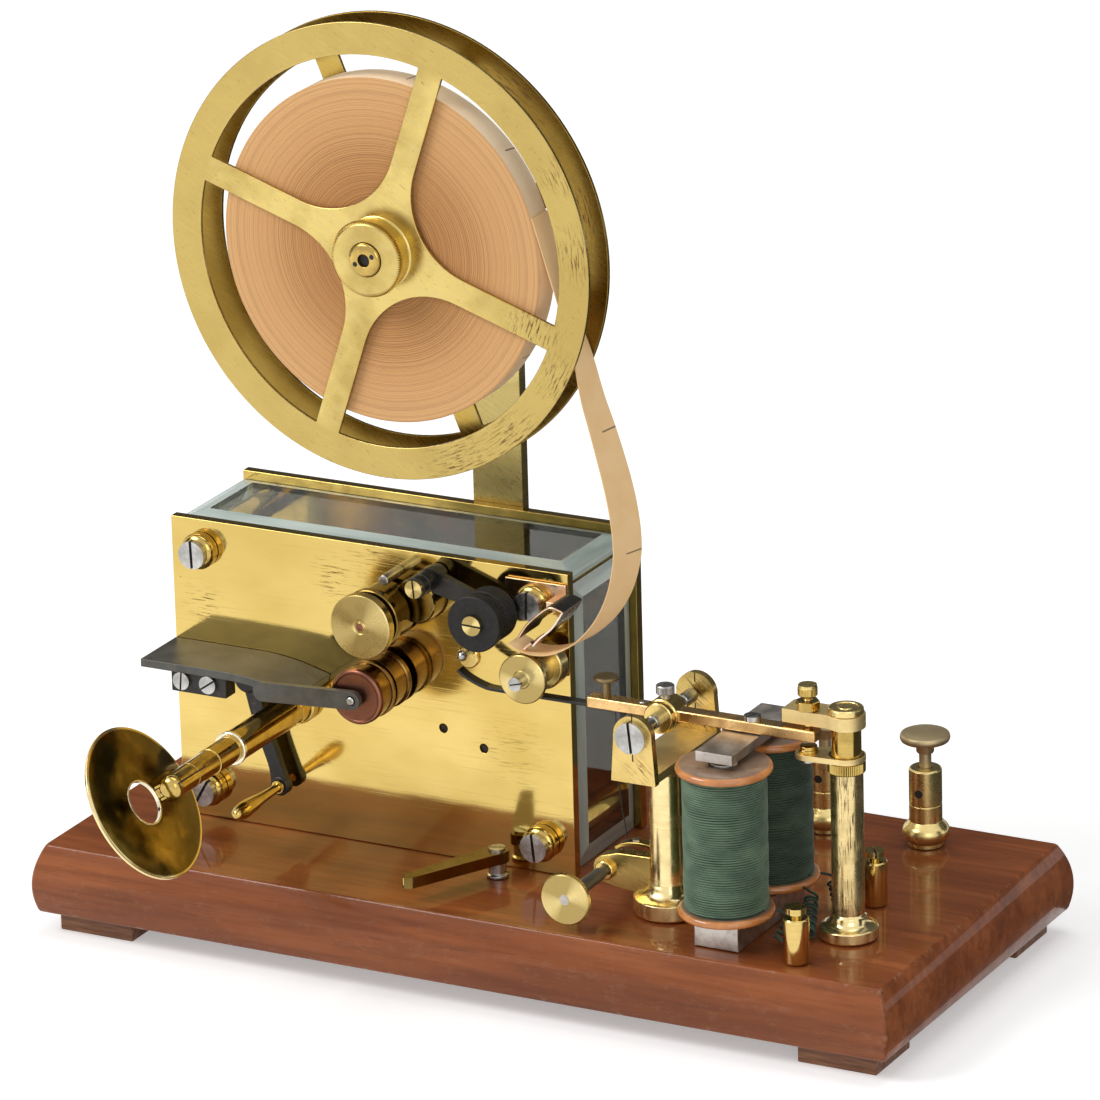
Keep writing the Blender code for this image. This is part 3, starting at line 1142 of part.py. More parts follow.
# Electromagnet
def magnet():
    bar_length = MAGNET_SPACING + 2 * CORE_BAR_END
    middle_y = MAGNET_FRONT_Y + MAGNET_SPACING / 2
    bar = block("magnet_core", (CORE_BAR_WIDTH, bar_length, CORE_BAR_HEIGHT),
                (MAGNET_X, middle_y, GAP + CORE_BAR_HEIGHT / 2), IRON)
    foot = 2 * GAP + CORE_BAR_HEIGHT
    top = foot + BOBBIN_HEIGHT
    for word, y in (("front", MAGNET_FRONT_Y), ("back", MAGNET_FRONT_Y + MAGNET_SPACING)):
        sunk = CORE_BAR_HEIGHT / 2
        profile = [(CORE_TOP, 0), (CORE_TOP, CORE_RADIUS), (sunk, CORE_RADIUS), (sunk, 0)]
        core = solid(turned(f"core_{word}", profile, (MAGNET_X, y, 0), IRON, "up", SMALL))
        boolean(bar, core, "UNION")
        bore = CORE_RADIUS + GAP
        flange_top = top - BOBBIN_FLANGE_THICKNESS
        flange_foot = foot + BOBBIN_FLANGE_THICKNESS
        profile = [
            (top, bore), (top, BOBBIN_FLANGE_RADIUS - GAP), (top - GAP, BOBBIN_FLANGE_RADIUS),
            (flange_top, BOBBIN_FLANGE_RADIUS), (flange_top, BOBBIN_DRUM_RADIUS),
            (flange_foot, BOBBIN_DRUM_RADIUS), (flange_foot, BOBBIN_FLANGE_RADIUS),
            (foot, BOBBIN_FLANGE_RADIUS), (foot, bore),
        ]
        turned(f"bobbin_{word}", profile, (MAGNET_X, y, 0), BOBBIN_WOOD, "up")
        room = flange_top - flange_foot - 2 * (WINDING_WIRE_RADIUS + GAP)
        pitch = room / WINDING_LOOPS
        count = WINDING_LOOPS * LOOP_POINTS
        coil = []
        for k in range(count + 1):
            angle = 2 * pi * k / LOOP_POINTS
            height = flange_foot + GAP + WINDING_WIRE_RADIUS + pitch * k / LOOP_POINTS
            coil.append(Vector((WINDING_RADIUS * cos(angle), WINDING_RADIUS * sin(angle), height)))
        tail = WINDING_WIRE_RADIUS
        coil.insert(0, coil[0] - Vector((0, tail, 0)))
        coil.append(coil[-1] + Vector((0, tail, 0)))
        wire(f"winding_{word}", coil, WINDING_WIRE_RADIUS, (MAGNET_X, y, 0), SILK)
        report_gap(f"winding_{word}", coil, WINDING_WIRE_RADIUS, LOOP_POINTS)


def report_gap(name, points, radius, per_loop):
    """Prints the least gap between a wound wire and itself."""
    least = None
    for i, first in enumerate(points):
        for second in points[i + per_loop // 2:]:
            apart = (first - second).length - 2 * radius
            least = apart if least is None else min(least, apart)
    print(f"{name}: least gap to itself {least * 1000:.2f} mm, wanted over {LEAST_WIRE_GAP * 1000:.2f} mm")


def curly(start, end, radius, curls, first_angle):
    """A helix of round curls along the straight line between two points."""
    axis = (end - start).normalized()
    side = axis.cross(Vector((0, 0, 1)))
    side = side.normalized() if side.length > MERGE else Vector((1, 0, 0))
    up = side.cross(axis)
    points = []
    for k in range(curls * CURL_POINTS + 1):
        angle = first_angle + 2 * pi * k / CURL_POINTS
        along = k / (curls * CURL_POINTS)
        points.append(start.lerp(end, along) + side * (radius * cos(angle)) + up * (radius * sin(angle)))
    return points


def leads():
    flange_middle = 2 * GAP + CORE_BAR_HEIGHT + BOBBIN_FLANGE_THICKNESS / 2
    coil_y = {"front": MAGNET_FRONT_Y, "back": MAGNET_FRONT_Y + MAGNET_SPACING}
    for word, bobbin, terminal, curl_start, curl_end, curls in LEAD_ROUTES:
        coil = Vector((MAGNET_X, coil_y[bobbin], flange_middle))
        start = Vector((coil.x + curl_start[0], coil.y + curl_start[1], curl_start[2]))
        end = Vector((coil.x + curl_end[0], coil.y + curl_end[1], curl_end[2]))
        out = Vector((start.x - coil.x, start.y - coil.y, 0)).normalized()
        root = coil + out * (BOBBIN_FLANGE_RADIUS + GAP)
        bend = root + out * (2 * LEAD_WIRE_RADIUS)
        post = Vector((*TERMINAL_PLACES[terminal], end.z))
        toward = (post - end).normalized()
        tip = post - toward * (TERMINAL_RADIUS + GAP)
        before = tip - toward * (2 * LEAD_WIRE_RADIUS)
        curly_part = curly(start, end, LEAD_CURL_RADIUS, curls, pi / 2)
        wire(f"lead_{word}", [root, bend] + curly_part + [before, tip], LEAD_WIRE_RADIUS, (0, 0, 0), SILK)
        report_gap(f"lead_{word}", curly_part, LEAD_WIRE_RADIUS, CURL_POINTS)


# Armature and lever
def armature():
    length = MAGNET_SPACING + 2 * ARMATURE_OVERHANG
    middle_y = MAGNET_FRONT_Y + MAGNET_SPACING / 2
    block("armature", (ARMATURE_WIDTH, length, ARMATURE_THICKNESS),
          (MAGNET_X, middle_y, ARMATURE_FOOT + ARMATURE_THICKNESS / 2), IRON)
    length = LEVER_TIP_X - LEVER_LEFT_X
    bar = block("armature_lever", (length, LEVER_WIDTH, LEVER_HEIGHT),
                (LEVER_LEFT_X + length / 2, LEVER_Y, LEVER_FOOT + LEVER_HEIGHT / 2), BRASS)
    half = LEVER_BOSS_WIDTH / 2
    axle_half = CHEEK_SPACING / 2 - GAP
    tip = LEVER_AXLE_RADIUS
    profile = [
        (axle_half, 0), (axle_half - tip, LEVER_AXLE_RADIUS), (half, LEVER_AXLE_RADIUS), (half, LEVER_BOSS_RADIUS),
        (-half, LEVER_BOSS_RADIUS), (-half, LEVER_AXLE_RADIUS), (-axle_half + tip, LEVER_AXLE_RADIUS),
        (-axle_half, 0),
    ]
    axle = solid(turned("lever_axle", profile, (AXLE_X, LEVER_Y, AXLE_Z), STEEL))
    boolean(bar, axle, "UNION")
    line = strip_line()
    outline = ribbon(line, [STRIP_THICKNESS] * len(line))
    strip = solid(cut_out("writing_strip", [outline], STRIP_WIDTH, (LEVER_LEFT_X, LEVER_Y, 0), DARK_STEEL))
    boolean(bar, strip, "UNION")


def strip_line():
    """The strip's middle line: flat under the writing roller, then curling up."""
    foot = LEVER_FOOT + STRIP_THICKNESS / 2
    flat = -STRIP_LENGTH * STRIP_FLAT_SHARE
    radius = ((STRIP_LENGTH + flat) ** 2 + STRIP_CURL_RISE ** 2) / (2 * STRIP_CURL_RISE)
    sweep = atan2(STRIP_LENGTH + flat, radius - STRIP_CURL_RISE) * 180 / pi
    curl = arc(flat, foot + radius, radius, 270, 270 - sweep, 6)
    return [(LEVER_HEIGHT, foot), (0, foot)] + curl


# Yoke, pillar and adjusting screw
def cheek(name, y):
    """One upright of the yoke, with its round head about the lever's axle."""
    foot = YOKE_WIDTH / 2
    rise = YOKE_FOOT - AXLE_Z
    outline = arc(0, 0, CHEEK_TOP_RADIUS - GAP, 0, 180, 12) + [(-foot, rise), (foot, rise)]
    return solid(cut_out(name, [outline], CHEEK_THICKNESS, (AXLE_X, y, AXLE_Z), BRASS))


def yoke():
    reach = CHEEK_SPACING / 2 + CHEEK_THICKNESS / 2
    front = cheek("yoke", LEVER_Y - reach)
    back = cheek("yoke_back", LEVER_Y + reach)
    plate_length = CHEEK_SPACING + CHEEK_THICKNESS
    floor = block("yoke_floor", (YOKE_WIDTH - 2 * GAP, plate_length, YOKE_PLATE),
                  (AXLE_X, LEVER_Y, YOKE_FOOT + YOKE_PLATE / 2 + GAP), BRASS)
    boolean(front, floor, "UNION")
    boolean(front, back, "UNION")
    top = YOKE_FOOT - GAP
    bead = top - PILLAR_BEAD_HEIGHT
    flare = PILLAR_FLANGE_HEIGHT + PILLAR_FLARE_HEIGHT
    profile = [
        (top, 0), (top, PILLAR_RADIUS), (bead + PILLAR_BEAD_HEIGHT / 2, PILLAR_BEAD_RADIUS), (bead, PILLAR_RADIUS),
        (flare, PILLAR_RADIUS), (PILLAR_FLANGE_HEIGHT + PILLAR_FLARE_HEIGHT / 3, PILLAR_BEAD_RADIUS),
        (PILLAR_FLANGE_HEIGHT, PILLAR_FLANGE_RADIUS), (GAP, PILLAR_FLANGE_RADIUS), (GAP, 0),
    ]
    pillar = solid(turned("yoke_pillar", profile, (AXLE_X, LEVER_Y, 0), BRASS, "up"))
    end = AXLE_X - PILLAR_RADIUS / 2
    nose = arc(ADJUST_X, ADJUST_Z, LUG_NOSE_RADIUS, 180, 270, 5)
    outline = nose + [(end, LUG_FOOT), (end, LUG_TOP), (ADJUST_X + LUG_NOSE_RADIUS / 2, LUG_TOP),
                      (ADJUST_X - LUG_NOSE_RADIUS, ADJUST_Z + LUG_NOSE_RADIUS / 2)]
    hole = circle(ADJUST_X, ADJUST_Z, ADJUST_ROD_RADIUS + GAP, SMALL)
    lug = solid(cut_out("lug", [outline, hole], LUG_THICKNESS, (0, LEVER_Y, 0), BRASS))
    boolean(pillar, lug, "UNION")
    face = -(LEVER_Y - LUG_THICKNESS / 2)
    knob_foot = face + ADJUST_REACH - KNOB_THICKNESS
    tail = -(LEVER_Y + LUG_THICKNESS / 2) - ADJUST_TAIL
    profile = [
        (knob_foot + KNOB_THICKNESS, 0), (knob_foot + KNOB_THICKNESS, KNOB_RADIUS), (knob_foot, KNOB_RADIUS),
        (knob_foot, ADJUST_ROD_RADIUS), (tail, ADJUST_ROD_RADIUS), (tail, 0),
    ]
    turned("adjusting_screw", profile, (ADJUST_X, 0, ADJUST_Z), BRASS)


def return_spring():
    top = Vector((SPRING_X, LEVER_Y, LEVER_FOOT - GAP))
    foot = Vector((SPRING_FOOT_X, LEVER_Y, LUG_TOP + GAP))
    high = top.z + (foot.z - top.z) * (1 - SPRING_TOP_SHARE)
    low = top.z + (foot.z - top.z) * (1 - SPRING_FOOT_SHARE)
    start = Vector((SPRING_X, LEVER_Y, high))
    end = Vector((SPRING_X, LEVER_Y, low))
    curls = curly(start, end, SPRING_RADIUS, SPRING_CURLS, 0)
    lead = Vector((0, 0, 2 * SPRING_WIRE_RADIUS))
    path = [top, start + lead] + curls + [end - lead, foot + lead, foot]
    wire("return_spring", path, SPRING_WIRE_RADIUS, (0, 0, 0), OLD_BRASS)
    report_gap("return_spring", curls, SPRING_WIRE_RADIUS, CURL_POINTS)


# Contact pillar and contacts
CONTACT_ARM_FOOT = LEVER_TOP + 4 * GAP


def contacts():
    where = (CONTACT_X, CONTACT_Y, 0)
    plate_foot = CONTACT_RING_Z + CONTACT_RING_HEIGHT
    flare = CONTACT_BASE_HEIGHT + CONTACT_FLARE_HEIGHT
    plate_top = plate_foot + LOWER_PLATE_THICKNESS
    top = CONTACT_ARM_FOOT - GAP
    profile = [
        (top, 0), (top, CONTACT_SPACER_RADIUS), (plate_foot, CONTACT_SPACER_RADIUS),
        (plate_foot, CONTACT_RING_RADIUS), (CONTACT_RING_Z, CONTACT_RING_RADIUS),
        (CONTACT_RING_Z, CONTACT_COLUMN_RADIUS), (flare, CONTACT_COLUMN_RADIUS),
        (CONTACT_BASE_HEIGHT + CONTACT_FLARE_HEIGHT / 3, CONTACT_RING_RADIUS),
        (CONTACT_BASE_HEIGHT, CONTACT_BASE_RADIUS), (GAP, CONTACT_BASE_RADIUS), (GAP, 0),
    ]
    pillar = solid(turned("contact_pillar", profile, where, BRASS, "up"))
    stop = (CONTACT_SCREW_X - CONTACT_X, CONTACT_SCREW_Y - CONTACT_Y)
    oval = rounded_bar((0, 0), stop, LOWER_PLATE_WIDTH / 2 + CONTACT_ARM_WIDTH / 10, LOWER_PLATE_END)
    shelf = solid(cut_out("lower_plate", [oval], LOWER_PLATE_THICKNESS,
                          (CONTACT_X, CONTACT_Y, plate_foot + LOWER_PLATE_THICKNESS / 2), BRASS, "up"))
    boolean(pillar, shelf, "UNION")
    swing = (CONTACT_SCREW_X + LOWER_STOP_RADIUS - AXLE_X) * sin(radians(STRIKE_ANGLE))
    stop_top = LEVER_FOOT - swing - 2 * GAP
    stop_foot = plate_foot - LOWER_PLATE_THICKNESS
    profile = [(stop_top, 0), (stop_top, LOWER_STOP_RADIUS), (stop_foot, LOWER_STOP_RADIUS), (stop_foot, 0)]
    stud = solid(turned("lower_stop", profile, (CONTACT_SCREW_X, CONTACT_SCREW_Y, 0), BRASS, "up", SMALL))
    boolean(pillar, stud, "UNION")

    arm_mid = CONTACT_ARM_FOOT + CONTACT_ARM_THICKNESS / 2
    half = CONTACT_ARM_WIDTH / 2
    left = -CONTACT_ARM_REACH
    head = CONTACT_CAP_RADIUS + 2 * GAP
    outline = arc(0, 0, head, -90, 90, 10) + [(left, half), (left, -half)]
    hole = circle(stop[0], stop[1], CONTACT_SCREW_RADIUS + GAP, SMALL)
    arm = solid(cut_out("contact_arm", [outline, hole], CONTACT_ARM_THICKNESS,
                        (CONTACT_X, CONTACT_Y, arm_mid), BRASS, "up"))
    cap_top = CONTACT_ARM_FOOT + CONTACT_ARM_THICKNESS + CONTACT_CAP_HEIGHT
    profile = [(cap_top, 0), (cap_top, CONTACT_CAP_RADIUS), (arm_mid, CONTACT_CAP_RADIUS), (arm_mid, 0)]
    cap = solid(turned("contact_cap", profile, where, BRASS, "up"))
    boolean(arm, cap, "UNION")

    nut_foot = CONTACT_ARM_FOOT + CONTACT_ARM_THICKNESS + GAP
    nut_top = nut_foot + CONTACT_NUT_HEIGHT
    head_foot = nut_top + CONTACT_NECK_LENGTH
    head_top = head_foot + CONTACT_HEAD_HEIGHT
    neck = CONTACT_SCREW_RADIUS + 2 * GAP
    profile = [
        (head_top, 0), (head_top, CONTACT_HEAD_RADIUS), (head_foot, CONTACT_HEAD_RADIUS), (head_foot, neck),
        (nut_top, neck), (nut_top, CONTACT_NUT_RADIUS), (nut_foot, CONTACT_NUT_RADIUS),
        (nut_foot, CONTACT_SCREW_RADIUS), (LEVER_TOP + GAP, CONTACT_SCREW_RADIUS), (LEVER_TOP + GAP, 0),
    ]
    turned("contact_screw", profile, (CONTACT_SCREW_X, CONTACT_SCREW_Y, 0), BRASS, "up", SMALL)


# Binding posts and terminals
def posts():
    bore = BINDING_THREAD_RADIUS + GAP
    seat = BINDING_HEIGHT - BINDING_BORE
    for number, (x, y) in enumerate(POST_PLACES, 1):
        profile = [
            (seat, 0), (seat, bore), (BINDING_HEIGHT, bore), (BINDING_HEIGHT, BINDING_RADIUS),
            (BINDING_BULB_HEIGHT, BINDING_RADIUS), (BINDING_BULB_HEIGHT * 0.75, BINDING_BULB_RADIUS * 0.95),
            (BINDING_BULB_HEIGHT * 0.4, BINDING_BULB_RADIUS), (GAP, BINDING_RADIUS), (GAP, 0),
        ]
        turned(f"binding_post_{number}", profile, (x, y, 0), BRASS, "up", SMALL)
        neck_foot = BINDING_HEIGHT + BINDING_LIFT
        head_foot = neck_foot + BINDING_NECK_HEIGHT
        head_top = head_foot + BINDING_HEAD_THICKNESS
        profile = [
            (head_top, 0), (head_top, BINDING_HEAD_RADIUS), (head_foot, BINDING_HEAD_RADIUS),
            (head_foot, BINDING_NECK_RADIUS), (neck_foot, BINDING_NECK_RADIUS), (neck_foot, BINDING_THREAD_RADIUS),
            (seat + GAP, BINDING_THREAD_RADIUS), (seat + GAP, 0),
        ]
        turned(f"post_screw_{number}", profile, (x, y, 0), BRASS, "up", ROUND)
    for number, (x, y) in enumerate(TERMINAL_PLACES, 1):
        neck_top = TERMINAL_HEIGHT + TERMINAL_NECK_HEIGHT
        top = neck_top + TERMINAL_SCREW_HEIGHT
        profile = [
            (top, 0), (top, TERMINAL_SCREW_RADIUS), (neck_top, TERMINAL_SCREW_RADIUS),
            (neck_top, TERMINAL_NECK_RADIUS), (TERMINAL_HEIGHT, TERMINAL_NECK_RADIUS),
            (TERMINAL_HEIGHT, TERMINAL_RADIUS), (GAP, TERMINAL_RADIUS), (GAP, 0),
        ]
        turned(f"terminal_{number}", profile, (x, y, 0), BRASS, "up", SMALL)


board()
case()
clockwork()
rollers()
table()
ink()
writing_roller()
tape_guide()
reel()
paper_tape()
winding()
spool()
start_lever()
magnet()
leads()
armature()
yoke()
return_spring()
contacts()
posts()

for part in PARTS.objects:
    if part.type == "MESH":
        part.data.shade_smooth()
        part.data.set_sharp_from_angle(angle=radians(35))
print("sub-parts:", sum(part.type != "EMPTY" for part in PARTS.objects))
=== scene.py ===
# %% [markdown]
# # A telegraph ink writer
# A clockwork in a brass and glass case draws a paper tape from the big reel. Over the tape
# hangs an inked wheel. When current runs through the two green coils, they pull a small iron
# plate down, the long lever rocks, and its thin steel tip presses the tape up against the wheel.
# The solids of the part come in as a frame. This script dresses them: round pieces are turned
# again with many more sides, and each surface gets a finish of its own.

import random
from math import acos, asin, atan2, cos, degrees, hypot, pi, radians, sin

import bmesh
import bpy
from mathutils import Matrix, Vector
from mathutils.geometry import delaunay_2d_cdt


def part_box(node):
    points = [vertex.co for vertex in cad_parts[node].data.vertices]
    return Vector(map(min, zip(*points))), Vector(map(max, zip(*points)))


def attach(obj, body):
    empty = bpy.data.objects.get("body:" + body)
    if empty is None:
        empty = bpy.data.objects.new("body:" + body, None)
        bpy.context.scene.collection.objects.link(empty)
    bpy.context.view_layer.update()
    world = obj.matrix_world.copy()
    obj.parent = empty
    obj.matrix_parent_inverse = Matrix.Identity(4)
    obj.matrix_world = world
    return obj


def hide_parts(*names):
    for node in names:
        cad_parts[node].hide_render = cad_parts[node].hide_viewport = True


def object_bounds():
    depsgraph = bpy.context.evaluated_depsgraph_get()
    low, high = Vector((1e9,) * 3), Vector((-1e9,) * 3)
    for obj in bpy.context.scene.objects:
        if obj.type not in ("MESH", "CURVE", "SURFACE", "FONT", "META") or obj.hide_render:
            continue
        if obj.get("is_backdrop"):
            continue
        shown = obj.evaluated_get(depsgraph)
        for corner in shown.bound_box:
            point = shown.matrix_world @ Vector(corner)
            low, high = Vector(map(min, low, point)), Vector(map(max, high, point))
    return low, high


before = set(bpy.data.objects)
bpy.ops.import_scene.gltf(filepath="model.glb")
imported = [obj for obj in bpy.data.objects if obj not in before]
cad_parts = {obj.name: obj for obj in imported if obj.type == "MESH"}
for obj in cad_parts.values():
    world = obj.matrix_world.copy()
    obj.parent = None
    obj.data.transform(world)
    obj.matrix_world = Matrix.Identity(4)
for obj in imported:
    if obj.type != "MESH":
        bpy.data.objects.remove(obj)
cad_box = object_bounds()

# %% [markdown]
# ## One ruler for the whole instrument
# A maker measures everything from one corner of the front plate, so this script does too:
# x runs right along the plate, y goes into the case, z goes up from the board, all in
# millimetres. One small function turns such a place into metres in the world. That keeps
# the numbers readable and puts every piece in the same frame as the solids.

# %% Places in millimetres
MM = 0.001
PLATE_CORNER = Vector((-136.1, 12.1, 33.6))
FACING = {
    "up": (0, 0, 0),
    "front": (pi / 2, 0, 0),
    "back": (-pi / 2, 0, 0),
    "right": (0, pi / 2, 0),
    "left": (0, -pi / 2, 0),
}


def at(x, y, z):
    """A place in millimetres from the plate's corner, in world metres."""
    return (PLATE_CORNER + Vector((x, y, z))) * MM


def deep(place, y):
    """The same place at another depth."""
    return (place[0], y, place[2])


print("the plate's corner stands at", [round(v, 4) for v in at(0, 0, 0)])

# %% [markdown]
# ## Wires for mixing finishes
# A finish in Blender is a small net of nodes that ends in one Principled shader. The helpers
# below lay the usual parts of such a net: stretched noise for scratches and grain, a ramp that
# turns noise into colour, and a bump that roughens the light. They all work on the finish that
# was started last. A value that is the same all over is set straight on the shader, so it
# survives when the model is exported.


# %% Helpers for finishes
def new_finish(name, colour, metallic=0.0, roughness=0.4, **more):
    """Starts a finish, and makes its net the one that the other helpers add to."""
    global net, skin
    finish = bpy.data.materials.new(name)
    finish.use_nodes = True
    net = finish.node_tree
    skin = net.nodes["Principled BSDF"].inputs
    skin["Base Color"].default_value = (*colour, 1)
    skin["Metallic"].default_value = metallic
    skin["Roughness"].default_value = roughness
    for socket, value in more.items():
        skin[socket.replace("_", " ")].default_value = value
    return finish


def lay(kind, sockets, **settings):
    """Adds a node, puts a value or another node's output on its sockets, gives its outputs."""
    node = net.nodes.new("ShaderNode" + kind)
    for key, value in settings.items():
        setattr(node, key, value)
    for socket, value in sockets.items():
        if isinstance(value, bpy.types.NodeSocket):
            net.links.new(value, node.inputs[socket])
        else:
            node.inputs[socket].default_value = value
    return node.outputs


def stretched(x, y, z, turn=0):
    """The piece's own coordinates in millimetres, times a number for each axis."""
    own = lay("TexCoord", {})["Object"]
    turned = lay("Mapping", {"Vector": own, "Rotation": (0, 0, radians(turn))})["Vector"]
    return lay("Mapping", {"Vector": turned, "Scale": (x / MM, y / MM, z / MM)})["Vector"]


def from_axis():
    """Distance from the piece's own turning axis, in millimetres."""
    return lay("VectorMath", {0: stretched(1, 1, 0)}, operation="LENGTH")["Value"]


def along(axis):
    """Distance along one of the piece's own axes, in millimetres."""
    return lay("SeparateXYZ", {0: stretched(1, 1, 1)})[axis]


def round_axis():
    """The way round the piece's own axis, from 0 to 1."""
    return lay("TexGradient", {"Vector": stretched(1, 1, 0)}, gradient_type="RADIAL")["Fac"]


def sums(operation, first, second):
    """One sum on two values, each a number or another node's output."""
    return lay("Math", {0: first, 1: second}, operation=operation)["Value"]


def times(first, second):
    return sums("MULTIPLY", first, second)


def most(value, *others):
    """The largest of several values."""
    for other in others:
        value = sums("MAXIMUM", value, other)
    return value


def noise(place, detail, roughness=0.55):
    sockets = {"Vector": place, "Scale": 1, "Detail": detail, "Roughness": roughness}
    return lay("TexNoise", sockets)["Fac"]


def grain(scale, detail, roughness=0.55, turn=0):
    """Noise over the piece: scale is how many grains to a millimetre, for all axes or for each."""
    scales = scale if isinstance(scale, tuple) else (scale,) * 3
    return noise(stretched(*scales, turn), detail, roughness)


def ramp(value, *stops):
    """Turns a value into a colour or, with single numbers, into a grey."""
    colour = lay("ValToRGB", {"Fac": value})["Color"]
    steps = colour.node.color_ramp.elements
    while len(steps) < len(stops):
        steps.new(0.5)
    for step, (place, tone) in zip(steps, stops):
        step.position = place
        step.color = (*tone, 1) if isinstance(tone, tuple) else (tone, tone, tone, 1)
    return colour


def mask(value, low, high, full=1.0):
    """0 where the value is below low, rising to full where it reaches high."""
    return ramp(value, (low, 0.0), (high, full))


def scratched(scale, low, high, turn=0):
    """Thin streaks along the axis with the small number, as a mask from 0 to 1."""
    return mask(grain(scale, 4, turn=turn), low, high)


def blend(share, first, second):
    tones = [(*tone, 1) if isinstance(tone, tuple) else tone for tone in (first, second)]
    return lay("Mix", {0: share, 6: tones[0], 7: tones[1]}, data_type="RGBA")[2]


def near(x, y, radius):
    """1 at a spot on the piece's own face, falling to 0 at a radius, in millimetres."""
    away = lay("VectorMath", {0: stretched(1, 1, 0), 1: (x, y, 0)}, operation="DISTANCE")["Value"]
    return lay("MapRange", {"Value": away, "From Min": radius, "From Max": 0})["Result"]


def paint(tone):
    net.links.new(tone, skin["Base Color"])


def roughen(value, smooth, rough):
    net.links.new(ramp(value, (0.0, smooth), (1.0, rough)), skin["Roughness"])


def raise_by(height, millimetres, strength=1.0):
    """Adds a bump of that height on top of the bumps already there."""
    sockets = {"Height": height, "Distance": millimetres * MM, "Strength": strength}
    for below in skin["Normal"].links:
        sockets["Normal"] = below.from_socket
    net.links.new(lay("Bump", sockets)["Normal"], skin["Normal"])


print("finish helpers ready")

# %% [markdown]
# ## Brass of the front plate
# The plate is a sheet of brass, ground flat and lacquered, and nearly a mirror. A century of
# wiping left hairlines that run along it, and darker scuffs beside the bolts and above the
# rollers. Noise stretched a hundred times longer than high gives such lines, and a few soft
# spots decide where they bite through to dark metal.


# %% Plate brass
def plate_brass():
    finish = new_finish("plate_brass", (0.80, 0.59, 0.20), 1.0, 0.1)
    cloud = grain((0.02, 0.035, 0.02), 3)
    tone = ramp(cloud, (0.36, (0.64, 0.455, 0.13)), (0.62, (0.76, 0.56, 0.185)))
    hair = scratched((0.03, 1.6, 0.03), 0.58, 0.75)
    spots = most(near(12, 82, 11), near(66, 99, 12), near(84, 110, 15), times(near(136, 44, 22), 0.5))
    scuffs = times(scratched((0.16, 2.1, 0.1), 0.56, 0.64), mask(spots, 0.1, 0.8, 0.9))
    marks = most(scuffs, scratched(0.5, 0.745, 0.765))
    high_up = mask(sums("DIVIDE", along("Y"), 113), 0.45, 0.95, 0.5)
    tone = blend(high_up, tone, (0.52, 0.37, 0.105))
    tone = blend(times(hair, 0.3), tone, (0.42, 0.28, 0.08))
    paint(blend(marks, tone, (0.13, 0.075, 0.02)))
    roughen(most(marks, times(hair, 0.3)), 0.085, 0.42)
    raise_by(hair, 0.004)
    raise_by(cloud, 0.12)
    return finish


PLATE_BRASS = plate_brass()
print("made", PLATE_BRASS.name)

# %% [markdown]
# ## Turned brass
# Rollers, pillars and screws were cut on a lathe, and the tool left rings too fine to count.
# The rings run round the axis, so the noise is looked up by distance from the axis and by
# height, never by angle. Faced pieces also get a painted fan of sheen, bright and dark by angle.
# One recipe with a few numbers gives every shade from fresh yellow to dull olive, and dark
# copies that serve as painted shade.


# %% Turned brass
def fan():
    """A painted highlight: a bright and dark fan of sheen across a turned face, from 0 to 1."""
    twice = sums("SINE", sums("ADD", times(round_axis(), 4 * pi), 0.6), 0)
    return ramp(twice, (0.0, 0.0), (0.35, 0.35), (1.0, 1.0))


def turned_metal(name, light, dark, smooth=0.1, rough=0.3, rings=6, dirt=0.3, marks=0, sheen=0):
    finish = new_finish(name, light, 1.0, smooth)
    lookup = lay("CombineXYZ", {"X": times(from_axis(), rings), "Y": times(along("Z"), rings)})
    lathe = noise(lookup["Vector"], 2)
    cloud = grain(0.16, 4)
    dull = stain = mask(cloud, 0.42, 0.72)
    tone = blend(times(stain, dirt), light, dark)
    tone = blend(mask(lathe, 0.45, 0.75, 0.35), tone, dark)
    # Painted sheen: the fan lightens and darkens the colour by angle round the axis.
    if sheen:
        tone = blend(times(fan(), sheen), dark, tone)
    if marks:
        patches = ramp(grain((0.2, 0.2, 0.06), 3), (0.40, 0.25), (0.60, 1.0))
        worn = times(scratched((2.3, 2.3, 0.16), 0.53, 0.62), patches)
        tone = blend(times(worn, marks), tone, (0.085, 0.05, 0.018))
        dull = most(worn, stain)
    paint(tone)
    roughen(dull, smooth, rough)
    raise_by(lathe, 0.006)
    raise_by(cloud, 0.03)
    return finish


BRASS = turned_metal("turned_brass", (0.76, 0.56, 0.20), (0.42, 0.28, 0.08))
# Its bright and dark fan is a painted sheen.
SHEEN_PAINTED_BRASS = turned_metal("sheen_painted_brass", (0.80, 0.63, 0.27), (0.42, 0.31, 0.11), 0.26, 0.36, 9, sheen=1)
PALE_BRASS = turned_metal("pale_brass", (0.84, 0.66, 0.28), (0.56, 0.42, 0.16), 0.24, 0.36, 9, 0.4)
# Dark brass. On the upper roller's drum and the boss behind it, this darkness is painted shade. The start lever
# takes the same dark brass.
DARK_AND_SHADED_BRASS = turned_metal("dark_and_shaded_brass", (0.21, 0.14, 0.036), (0.095, 0.058, 0.015), 0.12, 0.3, 4, 0.6)
ROUGH_BRASS = turned_metal("brushed_brass", (0.86, 0.67, 0.32), (0.52, 0.37, 0.14), 0.42, 0.56, 5, 0.4)
OLIVE_BRASS = turned_metal("olive_brass", (0.60, 0.42, 0.12), (0.28, 0.18, 0.05), 0.09, 0.28, 4, 0.6)
WORN_BRASS = turned_metal("worn_brass", (0.84, 0.66, 0.32), (0.50, 0.35, 0.13), 0.2, 0.5, 5, marks=1)
DULL_BRASS = turned_metal("dull_brass", (0.60, 0.48, 0.28), (0.36, 0.27, 0.14), 0.46, 0.6, 7, 0.5)
